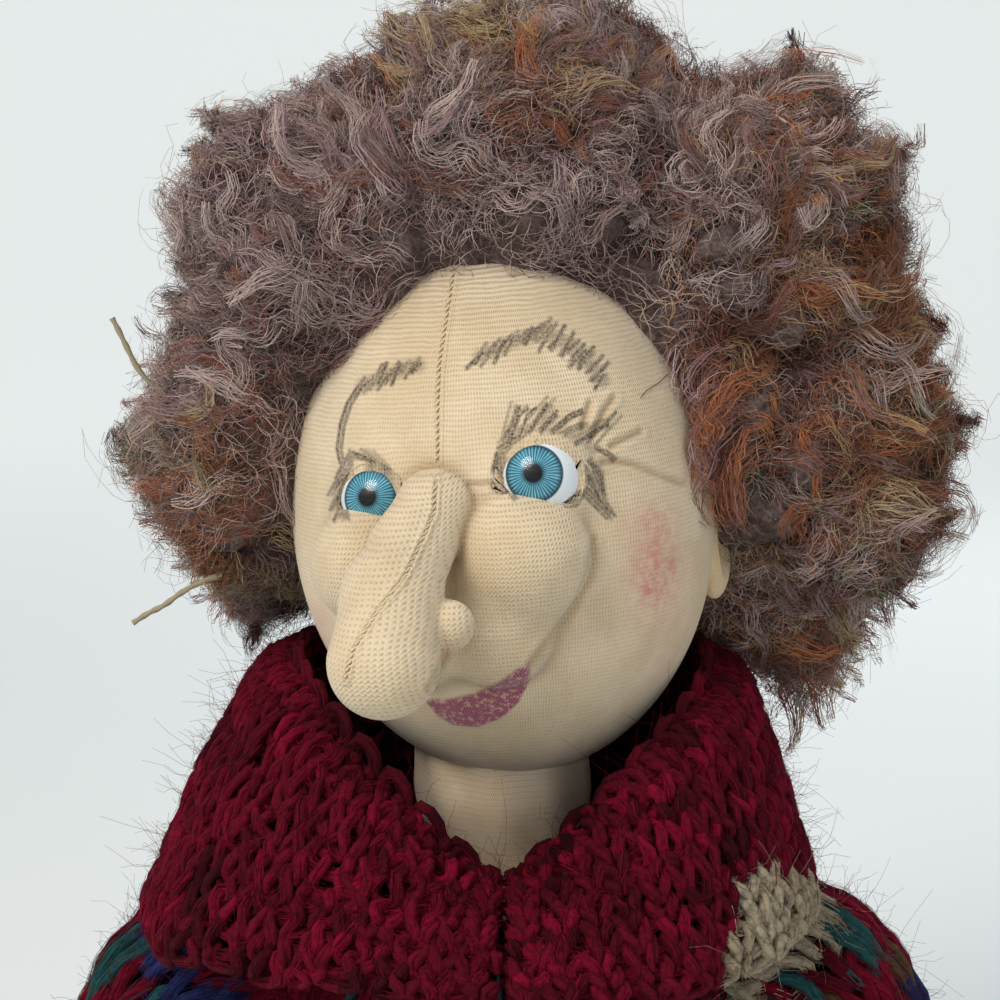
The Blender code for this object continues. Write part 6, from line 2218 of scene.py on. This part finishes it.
SHAFT_TOP = 0.0468
SHAFT_HALF = 0.0142
SHAFT_ROWS = ((0.0, 0.93), (0.0008, 1.0), (0.0100, 0.985), (0.0200, 1.0))
FOOT_HEIGHT = 0.0340
FOOT_WIDTH = 0.0230
FOOT_THICKNESS = 0.0190
FOOT_SQUARENESS = 2.3
FOOT_ROWS = (
    (-0.36, 0.80, 0.34, 0.54), (0.05, 0.95, 0.45, 0.55), (0.38, 0.98, 0.56, 0.54),
    (0.72, 0.94, 0.76, 0.52), (0.93, 0.78, 0.93, 0.46), (1.03, 0.52, 1.03, 0.28),
)
SOLE_SINK = 0.0012
SOLE_GAP = 0.0003
SOLE_HALF_WIDTH = 0.0120
SOLE_SQUARENESS = 2.6
SOLE_ENDS = (-0.0115, 0.0333)
SOLE_ROWS = ((0.0, 0.5), (0.0, 0.97), (0.0005, 1.0), (0.0025, 1.0), (0.0030, 0.97), (0.0030, 0.5))
SOLE_STITCHES = 44
SOLE_STITCH = ((-0.5, 0.0), (-0.4, 0.0012), (0.0, 0.0018), (0.4, 0.0012), (0.5, 0.0))
SOLE_STITCH_TURN = 0.09
SOLE_STITCH_SLANT = 0.0006
SOLE_THREAD_RADIUS = 0.00022

felt = Finish("brown_felt", Roughness=0.95, Sheen_Weight=0.3)
matted = felt.noise(900.0, 5.0, None, 0.7)
felt.look("Base Color", felt.mix(matted.between(0.3, 0.75), linear("#3d281c"), linear("#64462f")))
felt.raise_by(matted, 0.0004)
dark_felt = Finish("dark_felt", Roughness=0.95)
pressed = dark_felt.noise(1200.0, 5.0, None, 0.7)
dark_felt.look("Base Color", dark_felt.mix(pressed, linear("#221914"), linear("#3d2f26")))
dark_felt.raise_by(pressed, 0.0003)
waxed_thread = Finish("waxed_thread", Base_Color=linear("#b99a6b"), Roughness=0.7)

sole_face = SHIN_LENGTH + FOOT_THICKNESS
sole_middle = sum(SOLE_ENDS) / 2
sole_half = (SOLE_ENDS[1] - SOLE_ENDS[0]) / 2
for side, word in ((1.0, "left"), (-1.0, "right")):
    knee = leg_places(side)[1]
    shin = "shin_" + word
    rows = []
    for down, share in SHAFT_ROWS:
        half = SHAFT_HALF * share
        rows.append(oval((0.0, -SHAFT_TOP - down, 0.0), (half, 0.0, 0.0), (0.0, 0.0, half), LEG_SIDES))
    across, through = rounded_box(leg_turns + math.pi / 2, 1.0, 1.0, FOOT_SQUARENESS)
    for sole_share, reach_share, instep_share, width_share in FOOT_ROWS:
        low = np.array((0.0, -sole_face, FOOT_HEIGHT * sole_share))
        high = np.array((0.0, FOOT_THICKNESS * reach_share - sole_face, FOOT_HEIGHT * instep_share))
        ring = xyz(across * FOOT_WIDTH * width_share, 0.0, 0.0)
        rows.append((low + high) / 2 + ring - (high - low) / 2 * through[:, None])
    rings = loft(rows, 70)
    rings[..., 1] = np.maximum(rings[..., 1], SOLE_SINK - sole_face)
    rings = closed_ends(rings)
    turned_piece("boot_felt_" + word, rings, felt, shin, "boot_felt", ["boot_" + word], place=knee)

    rows = []
    for depth, share in SOLE_ROWS:
        across, upright = rounded_box(leg_turns, SOLE_HALF_WIDTH * share, sole_half * share, SOLE_SQUARENESS)
        rows.append(xyz(across, SOLE_SINK - sole_face - SOLE_GAP - depth, sole_middle - upright))
    rings = closed_ends(rows)
    turned_piece("felt_sole_" + word, rings, dark_felt, shin, "boot_sole", ["sole_" + word], place=knee)

    shifts, depths = np.transpose(SOLE_STITCH)
    round_it = np.arange(SOLE_STITCHES)[:, None] * (2 * math.pi / SOLE_STITCHES) + shifts * SOLE_STITCH_TURN
    outset = depths * 0.28
    across, upright = rounded_box(round_it, SOLE_HALF_WIDTH + outset, sole_half + outset, SOLE_SQUARENESS)
    level = -(sole_face + SOLE_GAP + SOLE_STITCH_SLANT) - shifts * SOLE_STITCH_SLANT
    stitches = moved_by(knee, xyz(across, level, sole_middle - upright))
    radii = np.full(stitches.shape[:2], SOLE_THREAD_RADIUS)
    mesh = mesh_of("sole_stitches_" + word, *tubes(stitches, radii, 6))
    settle(new_object("sole_stitches_" + word, mesh, waxed_thread), shin, "boot_sole", None)
